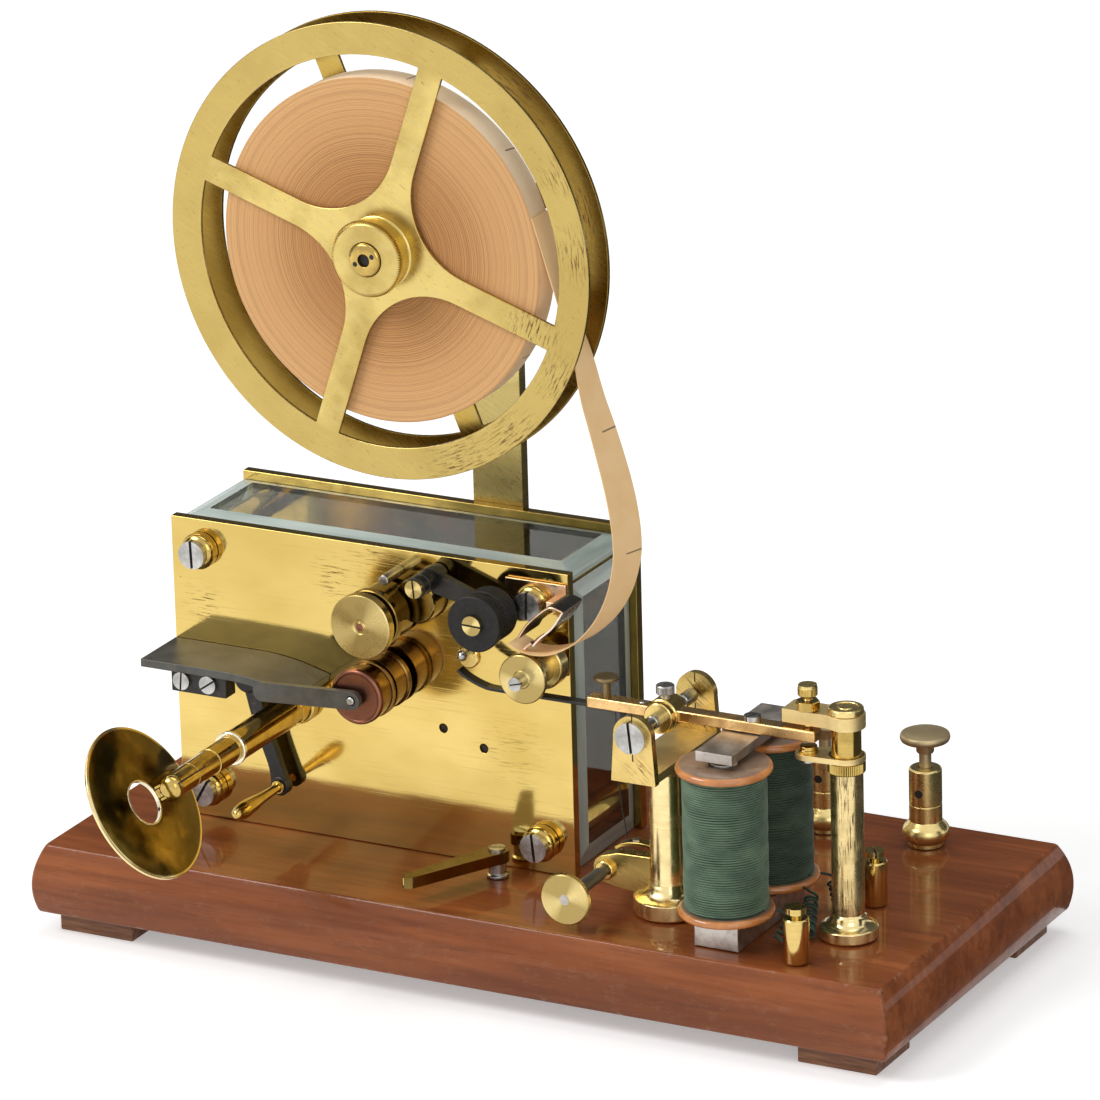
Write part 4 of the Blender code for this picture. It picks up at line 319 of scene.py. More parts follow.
TARNISHED_BRASS = turned_metal("tarnished_brass", (0.24, 0.18, 0.09), (0.12, 0.085, 0.04), 0.4, 0.55, 7, 0.5)
# Nearly white brass, a painted highlight along thin rings.
PAINTED_HIGHLIGHT_BRASS = turned_metal("painted_highlight_brass", (0.86, 0.80, 0.62), (0.55, 0.46, 0.26), 0.1, 0.3, 4)
PILLAR_BRASS = turned_metal("pillar_brass", (0.92, 0.75, 0.38), (0.56, 0.41, 0.15), 0.16, 0.34)
print("eleven turned brasses")

# %% [markdown]
# ## Brass of the reel
# The two big wheels of the reel are sheet brass that was never lacquered. It has gone a pale
# greenish yellow, with brown wear where hands turn it, most of all low on the right. The mask
# for that wear is noise inside soft spots, given in millimetres from the wheel's middle. Broad
# dark spots of painted shade darken one side of each wheel, and the back wheel is a darker copy
# of the same brass, darkened as painted shade.

# %% Reel brass
RIM_MIDDLE = 76


def reel_brass(name, wear, light=(0.655, 0.50, 0.17), dark=(0.46, 0.33, 0.10), shade=(), lean=None):
    """Wear bites at spots of (x, y, reach), along the rim or at a lean; painted shade darkens spots of (x, y,
    reach, share).
    """
    finish = new_finish(name, light, 1.0, 0.22)
    cloud = grain(0.045, 4)
    tone = ramp(cloud, (0.34, dark), (0.56, light))
    rubbed = grain((0.12, 0.75, 0.2), 5, turn=28)
    tone = blend(mask(rubbed, 0.50, 0.80, 0.45), tone, (0.62, 0.50, 0.24))
    outer = mask(sums("DIVIDE", from_axis(), 82), 0.82, 0.87, 0.75)
    # Painted shade: broad dark spots on one side of the wheel.
    outer = most(outer, *(times(near(x, y, reach), share) for x, y, reach, share in shade))
    tone = blend(outer, tone, dark)
    spots = most(near(0, 0, 8), *(near(*spot) for spot in wear))
    if lean is None:
        way_round = times(round_axis(), 2 * pi * RIM_MIDDLE * 0.17)
        place = lay("CombineXYZ", {"X": way_round, "Y": times(from_axis(), 1.5)})["Vector"]
    else:
        place = stretched(0.12, 1.1, 0.3, lean)
    bite = times(mask(noise(place, 5, 0.65), 0.52, 0.60), mask(spots, 0.05, 0.8, 0.95))
    marks = most(bite, times(scratched((0.28, 2.4, 0.5), 0.665, 0.70, 35), 0.6))
    paint(blend(marks, tone, (0.16, 0.085, 0.035)))
    roughen(most(marks, mask(rubbed, 0.3, 0.8, 0.4)), 0.24, 0.55)
    raise_by(rubbed, 0.006)
    raise_by(cloud, 0.1)
    return finish


FRONT_WEAR = ((32, -74, 20), (52, -62, 17), (70, -38, 13), (60, -20, 15), (79, 8, 14), (72, 36, 10))
# The front wheel's right side is darkened as painted shade.
REEL_BRASS = reel_brass("reel_brass", FRONT_WEAR, shade=((84, -10, 60, 1.3),))
# The back wheel is darker all over as painted shade, with more painted shade on its left.
SHADED_REEL_BACK_BRASS = reel_brass("shaded_reel_back_brass", ((50, 60, 22), (76, 20, 18)), (0.50, 0.34, 0.075),
                             (0.21, 0.125, 0.022), ((-80, -30, 75, 1.2),))
POST_BRASS = reel_brass("post_brass", ((0, -20, 22), (8, 40, 14)), (0.70, 0.55, 0.22), (0.42, 0.33, 0.12))
print("three sheet brasses")

# %% [markdown]
# ## Steel and iron
# Screw heads are bright steel with a ground face, the tape table and its arms are steel turned
# slate grey by heat, and the magnet's bar and its keeper are soft iron with file marks. Grey
# metals need some colour to look real, so a warm stain clouds each of them.


# %% Steel and iron
def filed_metal(name, light, dark, smooth, rough, across, lengthwise, turn=0, metallic=1.0):
    finish = new_finish(name, light, metallic, smooth)
    file_marks = grain((lengthwise, across, across), 4, turn=turn)
    cloud = grain(0.13, 5, 0.65)
    tone = ramp(cloud, (0.36, dark), (0.62, light))
    tone = blend(mask(grain(0.3, 4), 0.60, 0.75, 0.4), tone, (0.20, 0.13, 0.07))
    paint(blend(mask(file_marks, 0.55, 0.80, 0.5), tone, dark))
    roughen(mask(cloud, 0.3, 0.7), smooth, rough)
    raise_by(file_marks, 0.012)
    raise_by(cloud, 0.02)
    return finish


SCREW_STEEL = filed_metal("screw_steel", (0.58, 0.57, 0.55), (0.32, 0.31, 0.29), 0.2, 0.36, 2, 0.2, 40)
SLATE_STEEL = filed_metal("slate_steel", (0.108, 0.103, 0.088), (0.07, 0.068, 0.06), 0.3, 0.45, 0.9, 0.07,
                          metallic=0.35)
BLACK_STEEL = filed_metal("black_steel", (0.04, 0.037, 0.034), (0.02, 0.019, 0.017), 0.26, 0.42, 0.7, 0.1,
                          metallic=0.6)
SOFT_IRON = filed_metal("soft_iron", (0.60, 0.55, 0.50), (0.40, 0.36, 0.32), 0.3, 0.5, 1.4, 0.12, 90)
BAR_IRON = filed_metal("bar_iron", (0.66, 0.62, 0.57), (0.40, 0.36, 0.32), 0.28, 0.5, 1.1, 0.1, 12)
# A near black that stands in as painted shade inside slots, slits and holes.
PAINTED_HOLE_SHADE = filed_metal("painted_hole_shade", (0.03, 0.026, 0.022), (0.012, 0.011, 0.01), 0.6, 0.8, 1, 1, metallic=0.2)
print("six greys")

# %% [markdown]
# ## Copper and bronze
# The lower roller is bronze that has gone red-brown on its face; its drum is golden bronze darkened as painted
# shade.
# The tape guide is copper sheet, pink where it is bent. Both use the turned recipe, because the
# colour pair does most of the work.

# %% Copper and bronze
# The drum's bronze, darkened as painted shade.
SHADED_ROLLER_BRONZE = turned_metal("shaded_roller_bronze", (0.22, 0.12, 0.030), (0.09, 0.038, 0.012), 0.14, 0.34, 3, 0.8)
ROLLER_RED = turned_metal("roller_red", (0.27, 0.11, 0.065), (0.12, 0.05, 0.035), 0.28, 0.5, 4, 0.9)
GUIDE_COPPER = turned_metal("guide_copper", (0.80, 0.55, 0.36), (0.42, 0.22, 0.11), 0.14, 0.4, 2, 0.6)
LEAF_METAL = turned_metal("polished_leaf", (0.86, 0.70, 0.58), (0.56, 0.38, 0.26), 0.1, 0.3, 2, 0.5)
LEVER_BRASS = turned_metal("lever_brass", (0.84, 0.55, 0.24), (0.42, 0.24, 0.08), 0.2, 0.42, 1, 0.7)
print("copper, bronze and the lever's warm brass")

# %% [markdown]
# ## Paper
# The roll's flat side is the cut edge of hundreds of turns of tape: fine rings, closer and
# darker toward the middle. A one-dimensional noise along the radius gives rings that never
# repeat. The tape itself is plain, with a short pen stroke now and then.


# %% Paper
def rings_at(radius, per_millimetre, low, high):
    sockets = {"W": radius, "Scale": per_millimetre, "Detail": 4}
    return mask(lay("TexNoise", sockets, noise_dimensions="1D")["Fac"], low, high)


def roll_paper():
    finish = new_finish("roll_paper", (0.66, 0.37, 0.19), 0.0, 0.8, Specular_IOR_Level=0.25)
    radius = sums("ADD", from_axis(), times(grain(0.03, 2), 1.6))
    outward = sums("DIVIDE", radius, 66)
    tone = ramp(outward, (0.14, (0.52, 0.24, 0.08)), (0.45, (0.62, 0.31, 0.11)),
                (0.68, (0.74, 0.40, 0.165)), (0.93, (0.82, 0.47, 0.205)))
    fine = rings_at(radius, 3.4, 0.47, 0.62)
    loose = rings_at(radius, 0.6, 0.50, 0.60)
    lines = times(fine, ramp(outward, (0.20, 0.9), (0.55, 0.75), (0.70, 0.22)))
    tone = blend(times(loose, 0.25), tone, (0.50, 0.26, 0.12))
    paint(blend(lines, tone, (0.30, 0.125, 0.05)))
    raise_by(fine, 0.05)
    return finish


def tape_paper(name, light, dark):
    """Its texture coordinates are millimetres along the tape and across it."""
    finish = new_finish(name, light, 0.0, 0.7, Specular_IOR_Level=0.3)
    cloud = grain(0.08, 4)
    way = lay("SeparateXYZ", {0: lay("UVMap", {})["UV"]})
    lean = sums("ADD", way["X"], times(way["Y"], 0.12))
    stroke = sums("LESS_THAN", sums("PINGPONG", lean, 22.0), 0.28)
    ink = times(times(stroke, sums("GREATER_THAN", way["Y"], 5.2)), 0.8)
    paint(blend(ink, ramp(cloud, (0.35, dark), (0.65, light)), (0.09, 0.06, 0.045)))
    raise_by(cloud, 0.05)
    return finish


ROLL_PAPER = roll_paper()
TAPE_PAPER = tape_paper("tape_paper", (0.98, 0.67, 0.35), (0.93, 0.61, 0.29))
RIM_PAPER = tape_paper("roll_rim_paper", (0.95, 0.76, 0.53), (0.88, 0.66, 0.42))
print("paper for the roll and the tape")

# %% [markdown]
# ## Wood
# The board is French-polished mahogany: red-brown, with long pores, under a clear coat that
# mirrors the metal above it. Grain is noise stretched along the board, mixed at three sizes,
# and the coat is a second gloss layer in the same shader. Small knocks along the edges show
# the pale wood below.


# %% Wood
def mahogany():
    finish = new_finish("polished_mahogany", (0.27, 0.082, 0.032), 0.0, 0.34, Coat_Weight=0.42,
                        Coat_Roughness=0.05, Specular_IOR_Level=0.1)
    broad = grain((0.006, 0.05, 0.05), 3)
    figure = grain((0.02, 0.30, 0.30), 4, 0.6)
    pores = scratched((0.09, 1.9, 1.9), 0.60, 0.70)
    tone = ramp(broad, (0.30, (0.17, 0.043, 0.011)), (0.52, (0.28, 0.077, 0.021)),
                (0.72, (0.37, 0.11, 0.032)))
    tone = blend(mask(figure, 0.42, 0.78, 0.7), tone, (0.11, 0.026, 0.008))
    tone = blend(times(pores, 0.35), tone, (0.075, 0.018, 0.007))
    edges = mask(lay("NewGeometry", {})["Pointiness"], 0.515, 0.56)
    chips = times(edges, mask(grain((0.22, 0.35, 0.35), 5, 0.7), 0.56, 0.62))
    pale = most(chips, scratched((0.28, 0.34, 0.34), 0.86, 0.87))
    paint(blend(pale, tone, (0.42, 0.25, 0.16)))
    roughen(mask(grain(0.05, 4), 0.3, 0.7), 0.26, 0.46)
    raise_by(figure, 0.02, 0.4)
    raise_by(pale, 0.15, 0.6)
    return finish


def foot_wood():
    finish = new_finish("worn_foot_wood", (0.20, 0.10, 0.05), 0.0, 0.55)
    fibres = grain((0.05, 0.6, 0.6), 5, 0.6)
    paint(ramp(fibres, (0.32, (0.10, 0.035, 0.013)), (0.55, (0.24, 0.10, 0.045)), (0.75, (0.40, 0.21, 0.10))))
    raise_by(fibres, 0.1)
    return finish


def bobbin_wood():
    """Dull and dark on the flat of the rims, warm and glossy round their edge."""
    finish = new_finish("lacquered_bobbin", (0.62, 0.22, 0.07), 0.0, 0.3, Coat_Weight=0.5, Coat_Roughness=0.1)
    rim = mask(sums("DIVIDE", from_axis(), 17), 0.90, 0.96)
    cloud = grain(0.16, 5, 0.65)
    flat = ramp(cloud, (0.34, (0.20, 0.125, 0.08)), (0.68, (0.31, 0.205, 0.135)))
    paint(blend(rim, flat, ramp(cloud, (0.34, (0.50, 0.17, 0.04)), (0.66, (0.74, 0.29, 0.08)))))
    roughen(rim, 0.5, 0.22)
    raise_by(cloud, 0.03)
    return finish


MAHOGANY, FOOT_WOOD, BOBBIN_WOOD = mahogany(), foot_wood(), bobbin_wood()
print("three woods")

# %% [markdown]
# ## Silk, ink and glass
# The coils are wound with copper wire covered in green silk, so each turn is a soft thread with
# a faint sheen. The ink wheel is felt and hard rubber, black and nearly without shine. The panes
# are thick plate glass, greenish where light runs through a bevel.


# %% Silk, ink, glass
def silk(name, light, dark):
    finish = new_finish(name, light, 0.0, 0.7, Sheen_Weight=0.25, Sheen_Roughness=0.4, Specular_IOR_Level=0.3)
    weave = grain(3.5, 2)
    tone = blend(mask(grain((0.09, 0.09, 0.16), 4), 0.36, 0.66), dark, light)
    paint(blend(mask(weave, 0.52, 0.8, 0.5), tone, dark))
    raise_by(weave, 0.05)
    return finish


def ink_black():
    finish = new_finish("inked_rubber", (0.018, 0.017, 0.015), 0.0, 0.5, Specular_IOR_Level=0.3)
    cloud = grain(0.5, 4)
    paint(ramp(cloud, (0.35, (0.007, 0.006, 0.006)), (0.7, (0.02, 0.018, 0.015))))
    roughen(cloud, 0.38, 0.66)
    raise_by(cloud, 0.03)
    return finish


def plate_glass():
    finish = new_finish("plate_glass", (0.93, 0.97, 0.95), 0.0, 0.02, Transmission_Weight=1.0, IOR=1.5)
    smear = grain(0.03, 4)
    paint(ramp(smear, (0.35, (0.93, 0.94, 0.83)), (0.65, (0.99, 0.99, 0.92))))
    roughen(mask(smear, 0.5, 0.9), 0.01, 0.09)
    return finish


def ground_bevel():
    finish = new_finish("ground_bevel", (0.40, 0.47, 0.41), 0.0, 0.16, Transmission_Weight=0.3, IOR=1.5)
    streaks = grain((0.02, 0.02, 0.6), 3)
    paint(ramp(streaks, (0.35, (0.46, 0.56, 0.51)), (0.65, (0.70, 0.80, 0.74))))
    roughen(streaks, 0.08, 0.24)
    return finish


GREEN_SILK = silk("green_silk", (0.155, 0.24, 0.15), (0.075, 0.125, 0.08))
# The back coil's silk, darkened as painted shade.
PAINTED_SHADE_SILK = silk("painted_shade_silk", (0.07, 0.115, 0.068), (0.032, 0.056, 0.034))
LEAD_SILK = silk("lead_silk", (0.055, 0.095, 0.064), (0.018, 0.036, 0.025))
INK_BLACK, PLATE_GLASS, GLASS_BEVEL = ink_black(), plate_glass(), ground_bevel()
print("silk, ink and glass")

# %% [markdown]
# ## Tools of the workshop
# Nearly every piece here is turned, cut from sheet, planed from bar or drawn as wire, so four
# helpers make them. Each builds its mesh in the piece's own place, with the turning axis upright,
# and then stands it up. A narrow bevel on every sharp edge catches light as a real edge does.

# %% Stand, ease and fit
SHARP = radians(32)


def ease(piece, width):
    """Rounds the piece's sharp edges by a width in millimetres."""
    bevel = piece.modifiers.new("eased edges", "BEVEL")
    bevel.width = width * MM
    bevel.segments = 2
    bevel.limit_method = "ANGLE"
    bevel.angle_limit = SHARP
    bevel.harden_normals = True


def dress(node, finish, width):
    """Gives a solid of the frame its finish, joins its loose triangles and rounds its edges."""
    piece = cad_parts[node]
    piece.material_slots[0].material = finish
    joined = piece.modifiers.new("joined triangles", "WELD")
    joined.merge_threshold = 0.002 * MM
    ease(piece, width)


def show(name, data):
    """Puts a mesh, curve, lamp or camera into the scene as an object."""
    piece = bpy.data.objects.new(name, data)
    bpy.context.scene.collection.objects.link(piece)
    return piece


def mesh_of(name, work):
    mesh = bpy.data.meshes.new(name)
    work.to_mesh(mesh)
    work.free()
    return mesh


def stand(name, work, finish, where, facing="up", eased=0.15):
    """Makes an object of a finished bmesh and stands it in its place."""
    bmesh.ops.recalc_face_normals(work, faces=work.faces)
    mesh = mesh_of(name, work)
    mesh.shade_smooth()
    mesh.set_sharp_from_angle(angle=SHARP)
    piece = show(name, mesh)
    for one in finish if isinstance(finish, tuple) else (finish,):
        mesh.materials.append(one)
    piece.rotation_euler = FACING[facing]
    piece.location = at(*where)
    if eased:
        ease(piece, eased)
    bpy.context.view_layer.update()
    return piece


def fit(body, slot, *pieces):
    """The pieces move with a body; the slot is not used.

    A name after a piece is the solid of the frame that it stands for.
    """
    for piece in pieces:
        if isinstance(piece, str):
            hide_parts(piece)
        else:
            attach(piece, body)


# %% Turned pieces
def turn(name, profile, where, finish, facing="front", steps=96, eased=0.15, hollow=False):
    """Turns a profile of (height, radius) in millimetres, listed from the far end down its outside.

    It closes on the axis, or on itself when hollow. A third number at a point is the depth of a
    knurl: every second corner there is cut back by it.
    """
    work = bmesh.new()
    (top, top_radius, *_), (foot, foot_radius, *_) = profile[0], profile[-1]
    if not hollow:
        profile = [(top, 0)] * (top_radius > 0) + profile + [(foot, 0)] * (foot_radius > 0)
    rings = []
    for height, radius, *knurl in profile:
        if radius == 0:
            rings.append([work.verts.new((0, 0, height * MM))])
            continue
        ring = []
        for k in range(steps):
            angle = 2 * pi * k / steps
            reach = radius - knurl[0] if knurl and k % 2 else radius
            ring.append(work.verts.new((reach * cos(angle) * MM, reach * sin(angle) * MM, height * MM)))
        rings.append(ring)
    if hollow:
        rings.append(rings[0])
    for upper, lower in zip(rings, rings[1:]):
        for k in range(steps):
            n = (k + 1) % steps
            if len(upper) == 1:
                work.faces.new((upper[0], lower[k], lower[n]))
            elif len(lower) == 1:
                work.faces.new((upper[k], lower[0], upper[n]))
            else:
                work.faces.new((upper[k], lower[k], lower[n], upper[n]))
    return stand(name, work, finish, where, facing, eased)


def bow(start, end, bulge, steps=8):
    """Points of a curved stretch of profile, bowed out by a bulge in millimetres."""
    (h0, r0), (h1, r1) = start, end
    long = hypot(h1 - h0, r1 - r0)
    out_h, out_r = (r1 - r0) / long, -(h1 - h0) / long
    points = []
    for k in range(steps + 1):
        t = k / steps
        push = 4 * t * (1 - t) * bulge
        points.append((h0 + (h1 - h0) * t + out_h * push, r0 + (r1 - r0) * t + out_r * push))
    return points


# %% Outlines
def arc(x, y, radius, start, end, steps):
    angles = [radians(start + (end - start) * k / steps) for k in range(steps + 1)]
    return [(x + radius * cos(a), y + radius * sin(a)) for a in angles]


def circle(x, y, radius, steps=24):
    return arc(x, y, radius, 0, 360 - 360 / steps, steps - 1)


def bar_outline(start, end, first, second, steps=14):
    """The outline of a bar with round ends of two radii."""
    (x0, y0), (x1, y1) = start, end
    lean = atan2(y1 - y0, x1 - x0) * 180 / pi
    give = asin((first - second) / hypot(x1 - x0, y1 - y0)) * 180 / pi
    return (arc(x0, y0, first, lean + 90 - give, lean + 270 + give, steps)
            + arc(x1, y1, second, lean - 90 + give, lean + 90 - give, steps))


def through(points, per_span=4):
    """A smooth line through points of any size."""
    ends = [points[0]] + list(points) + [points[-1]]
    line = []
    for a, b, c, d in zip(ends, ends[1:], ends[2:], ends[3:]):
        for k in range(per_span):
            t = k / per_span
            line.append(tuple(0.5 * (2 * q + (r - p) * t + (2 * p - 5 * q + 4 * r - s) * t * t
                                     + (3 * q - p - 3 * r + s) * t ** 3) for p, q, r, s in zip(a, b, c, d)))
    return line + [tuple(points[-1])]


def strip_sides(line, widths):
    """The left and the right side of a line that has a width at each point."""
    left, right = [], []
    for k, (x, y) in enumerate(line):
        ax, ay = line[max(0, k - 1)]
        bx, by = line[min(len(line) - 1, k + 1)]
        long = hypot(bx - ax, by - ay)
        nx, ny = -(by - ay) / long, (bx - ax) / long
        left.append((x + nx * widths[k] / 2, y + ny * widths[k] / 2))
        right.append((x - nx * widths[k] / 2, y - ny * widths[k] / 2))
    return left, right


print("a circle has", len(circle(0, 0, 1)), "corners")


# %% Sheet, bar and wire
def add_slab(work, loops, low, high, finish=0):
    """Adds a slab to a bmesh, cut to an outline with holes, between two heights."""
    flat = [Vector(point) for loop in loops for point in loop]
    rows, start = [], 0
    for loop in loops:
        row = list(range(start, start + len(loop)))
        swept = sum(a[0] * b[1] - b[0] * a[1] for a, b in zip(loop, loop[1:] + loop[:1]))
        rows.append(row if swept > 0 else row[::-1])
        start += len(loop)
    split = delaunay_2d_cdt(flat, [], rows, 1, 1e-6)
    triangles = [corners for corners, inside in zip(split[2], split[5]) if list(inside) == [0]]
    lower, upper = ([work.verts.new((p.x * MM, p.y * MM, z * MM)) for p in flat] for z in (low, high))
    for a, b, c in triangles:
        for side in (lower, upper):
            work.faces.new((side[a], side[b], side[c])).material_index = finish
    start = 0
    for loop in loops:
        for k in range(len(loop)):
            i, j = start + k, start + (k + 1) % len(loop)
            work.faces.new((lower[i], lower[j], upper[j], upper[i])).material_index = finish
        start += len(loop)


def cut_sheet(name, loops, thickness, where, finish, eased=0.2, facing="front"):
    """A sheet cut to an outline with holes; where is the middle of its back face."""
    work = bmesh.new()
    add_slab(work, loops, 0, thickness)
    return stand(name, work, finish, where, facing, eased)


def bend_strip(name, line, thickness, width, where, finish, eased=0.15):
    """A strip of that width whose side view follows a line; the thickness may change along it."""
    widths = thickness if isinstance(thickness, list) else [thickness] * len(line)
    left, right = strip_sides(line, widths)
    return cut_sheet(name, [left + right[::-1]], width, where, finish, eased)


def plane_bar(name, size, where, finish, eased=0.3, facing="up"):
    """A planed bar with that size, round the middle point given."""
    x, y, z = (v / 2 for v in size)
    work = bmesh.new()
    add_slab(work, [[(-x, -y), (x, -y), (x, y), (-x, y)]], -z, z)
    return stand(name, work, finish, where, facing, eased)


def draw_wire(name, points, radius, finish, where=(0, 0, 0), sides=2, smooth=False):
    """Round wire along points in millimetres."""
    curve = bpy.data.curves.new(name, "CURVE")
    curve.dimensions = "3D"
    curve.bevel_depth = radius * MM
    curve.bevel_resolution = sides
    curve.use_fill_caps = True
    line = curve.splines.new("NURBS" if smooth else "POLY")
    line.points.add(len(points) - 1)
    for point, (x, y, z) in zip(line.points, points):
        point.co = (x * MM, y * MM, z * MM, 1)
    if smooth:
        line.use_endpoint_u = True
        line.order_u = 4
    line.use_smooth = True
    curve.materials.append(finish)
    piece = show(name, curve)
    piece.location = at(*where)
    bpy.context.view_layer.update()
    return piece


print("workshop tools ready")

# %% [markdown]
# ## Screws with a slot
# Nearly twenty slotted heads sit all over the instrument, and the eye finds them at once. A real
# head is a disc with a saw cut, so each is built that way: a low disc whose top is painted dark
# as the shade in the cut, and two half moons standing on it with the gap between them. No
# Boolean is needed.


# %% Slotted screw
def slotted(name, radius, height, where, facing="front", finish=SCREW_STEEL, turned=90, slot=None):
    """A slotted head standing on a place, its slot turned by some degrees."""
    slot = slot or max(0.5, radius * 0.2)
    lean = asin(slot / 2 / radius) * 180 / pi
    work = bmesh.new()
    # The low disc's top is painted shade at the floor of the cut.
    add_slab(work, [circle(0, 0, radius * 0.98, 48)], 0, height * 0.55, 1)
    for side in (0, 180):
        moon = arc(0, 0, radius, side + turned + lean, side + turned + 180 - lean, 22)
        add_slab(work, [moon], 0.02, height)
    return stand(name, work, (finish, PAINTED_HOLE_SHADE), where, facing, 0.25)


print("slotted heads ready")

# %% [markdown]
# ## Board and feet
# The board is one mahogany plank with a bowed edge all round, wider below than above. A stack of
# rectangles that shrinks toward the top gives the bow. Its four blocks of plainer wood are keyed
# under the corners.

# %% Board and feet
BOARD = (340, 157, 25.5)
BOARD_MIDDLE = (340 / 2 - 33.9, 157 / 2 - 52.8)
WIDEST, BOW, CORNER, TOP_INSET = 9.69, 4.5, 1.6, 3
LAYERS = 18


def bowed_board():
    work = bmesh.new()
    layers = []
    for k in range(LAYERS + 2):
        height = BOARD[2] * min(k, LAYERS) / LAYERS
        away = (height - WIDEST) / (BOARD[2] - WIDEST)
        back = BOW * away * away + (TOP_INSET if k > LAYERS else 0)
        x, y = BOARD[0] / 2 - back - CORNER, BOARD[1] / 2 - back - CORNER
        edge = []
        for cx, cy, turned in ((x, y, 0), (-x, y, 90), (-x, -y, 180), (x, -y, 270)):
            edge += arc(cx, cy, CORNER, turned, turned + 90, 5)
        layers.append([work.verts.new((px * MM, py * MM, (height - BOARD[2]) * MM)) for px, py in edge])
    for low, high in zip(layers, layers[1:]):
        for k in range(len(low)):
            n = (k + 1) % len(low)
            work.faces.new((low[k], low[n], high[n], high[k]))
    work.faces.new(layers[0])
    work.faces.new(layers[-1])
    return stand("mahogany_board", work, MAHOGANY, (*BOARD_MIDDLE, 0), "up", 0.8)


fit("base", "mahogany", bowed_board(), "base_board")
for node in ("foot_front_left", "foot_front_right", "foot_back_left", "foot_back_right"):
    low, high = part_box(node)
    where = [(a + b) / 2 / MM - c for a, b, c in zip(low, high, PLATE_CORNER)]
    size = [(b - a) / MM for a, b in zip(low, high)]
    fit("base", "pale_wood", plane_bar("keyed_" + node, size, where, FOOT_WOOD, 0.5), node)
print("board", BOARD, "mm on four feet")

# %% [markdown]
# ## Case
# Two brass plates stand on the board and hold three panes of bevelled glass between them. The
# front plate is cut again here, so that its two small spare holes are real holes. Each pane
# is built with its wide ground bevel, because that pale green edge is what the eye reads as glass.

# %% Plates and panes
PLATE_LONG, PLATE_HIGH, PLATE_THICK = 160, 113.5, 4
BOLTS = {"top_left": (12.5, 102.5), "top_right": (147.5, 102.5), "bottom_left": (12.5, 12),
         "bottom_right": (147.5, 12)}
ARBORS = ((87.1, 65.19), (89.7, 91.89), (109, 107.1), (153.6, 81.8), (51.3, 50), (33.2, 58.5))
SPARE_HOLES = ((108.6, 48.7), (124.7, 43.5))
CASE_DEPTH, CASE_MIDDLE = 47.1, 27.85
PANE_THICK, BEVEL_FROM, BEVEL_WIDE = 3.8, 1.5, 8

plate_edge = [(0, 0.3), (PLATE_LONG, 0.3), (PLATE_LONG, PLATE_HIGH), (0, PLATE_HIGH)]
plate_holes = [circle(x, z, radius) for places, radius in ((BOLTS.values(), 2.8), (ARBORS, 2.3),
                                                           (SPARE_HOLES, 1.7))
               for x, z in places]
front_plate = cut_sheet("polished_front_plate", [plate_edge] + plate_holes, PLATE_THICK, (0, PLATE_THICK, 0),
                        PLATE_BRASS)
fit("base", "brass", front_plate, "front_plate")
# A dark disc inside each spare hole is painted shade.
for x, z in SPARE_HOLES:
    fit("base", "brass", turn("spare_hole_bottom", [(-1.2, 1.68), (-2, 1.68)], (x, 0, z), PAINTED_HOLE_SHADE))


def bevelled_pane(name, long, where, facing):
    """A pane whose outer face is set in on all sides; where is its inner face."""
    work = bmesh.new()
    loops = []
    for height, back in ((0, 0), (BEVEL_FROM, 0), (PANE_THICK, BEVEL_WIDE)):
        x, y = (long / 2 - back) * MM, (CASE_DEPTH / 2 - back) * MM
        corners = ((x, y), (-x, y), (-x, -y), (x, -y))
        loops.append([work.verts.new((*corner, height * MM)) for corner in corners])
    for low, high in zip(loops, loops[1:]):
        for k in range(4):
            work.faces.new((low[k - 1], low[k], high[k], high[k - 1])).material_index = 1
    work.faces.new(loops[0])
    work.faces.new(loops[-1])
    pane = stand("bevelled_" + name, work, (PLATE_GLASS, GLASS_BEVEL), where, facing, 0)
    pane.data.shade_flat()
    fit("base", "glass", pane, name)


bevelled_pane("glass_top", 158.4, (80, CASE_MIDDLE, 109.7), "up")
bevelled_pane("glass_right", 109.1, (155.4, CASE_MIDDLE, 54.85), "right")
bevelled_pane("glass_left", 109.1, (4.6, CASE_MIDDLE, 54.85), "left")
dress("back_plate", OLIVE_BRASS, 0.3)
for side, x in (("right", 159.3), ("left", 0.7)):
    strip = plane_bar("corner_strip_" + side, (0.9, 47.2, 0.9), (x, CASE_MIDDLE, 109.2), OLIVE_BRASS, 0.2)
    fit("base", "brass", strip)
print("front plate with", len(plate_holes), "holes")

# %% [markdown]
# ## Case bolts
# Four bolts tie the plates together. Outside, each shows a domed brass collar under a bright
# slotted head; inside, a thick brass spacer runs from plate to plate and shows through the glass.

# %% Case bolts
SLOT_TURNS = {"top_left": 92, "top_right": 88, "bottom_left": 60, "bottom_right": 96}
collar = [(5.6, 4.6), *bow((5.4, 5), (2.2, 6.6), 0.7), (0.3, 6.6), (0.3, 2.5), (-4.3, 2.5)]
spacer = [(-4.3, 5.2), (-51.4, 5.2), (-51.4, 2.5), (-56, 2.5), (-56, 4.5), (-58.5, 4.5)]
for word, (x, z) in BOLTS.items():
    fit("base", "brass", turn(f"bolt_collar_{word}", collar + spacer, (x, 0, z), OLIVE_BRASS),
        f"case_bolt_{word}")
    head = slotted(f"bolt_head_{word}", 5.2, 2.6, (x, -5.6, z), turned=SLOT_TURNS[word])
    fit("base", "bright_steel", head)
print("bolts:", len(BOLTS))

# %% [markdown]
# ## Clockwork
# Behind the glass a spring barrel drives three arbors. Their wheels stay mostly in the dark, so
# the frame's solids are enough, with a dull brass or steel finish and softened edges.

# %% Clockwork
for node, finish in (("spring_barrel", OLIVE_BRASS), ("centre_wheel", OLIVE_BRASS),
                     ("governor_fan", DULL_BRASS)):
    dress(node, finish, 0.15)


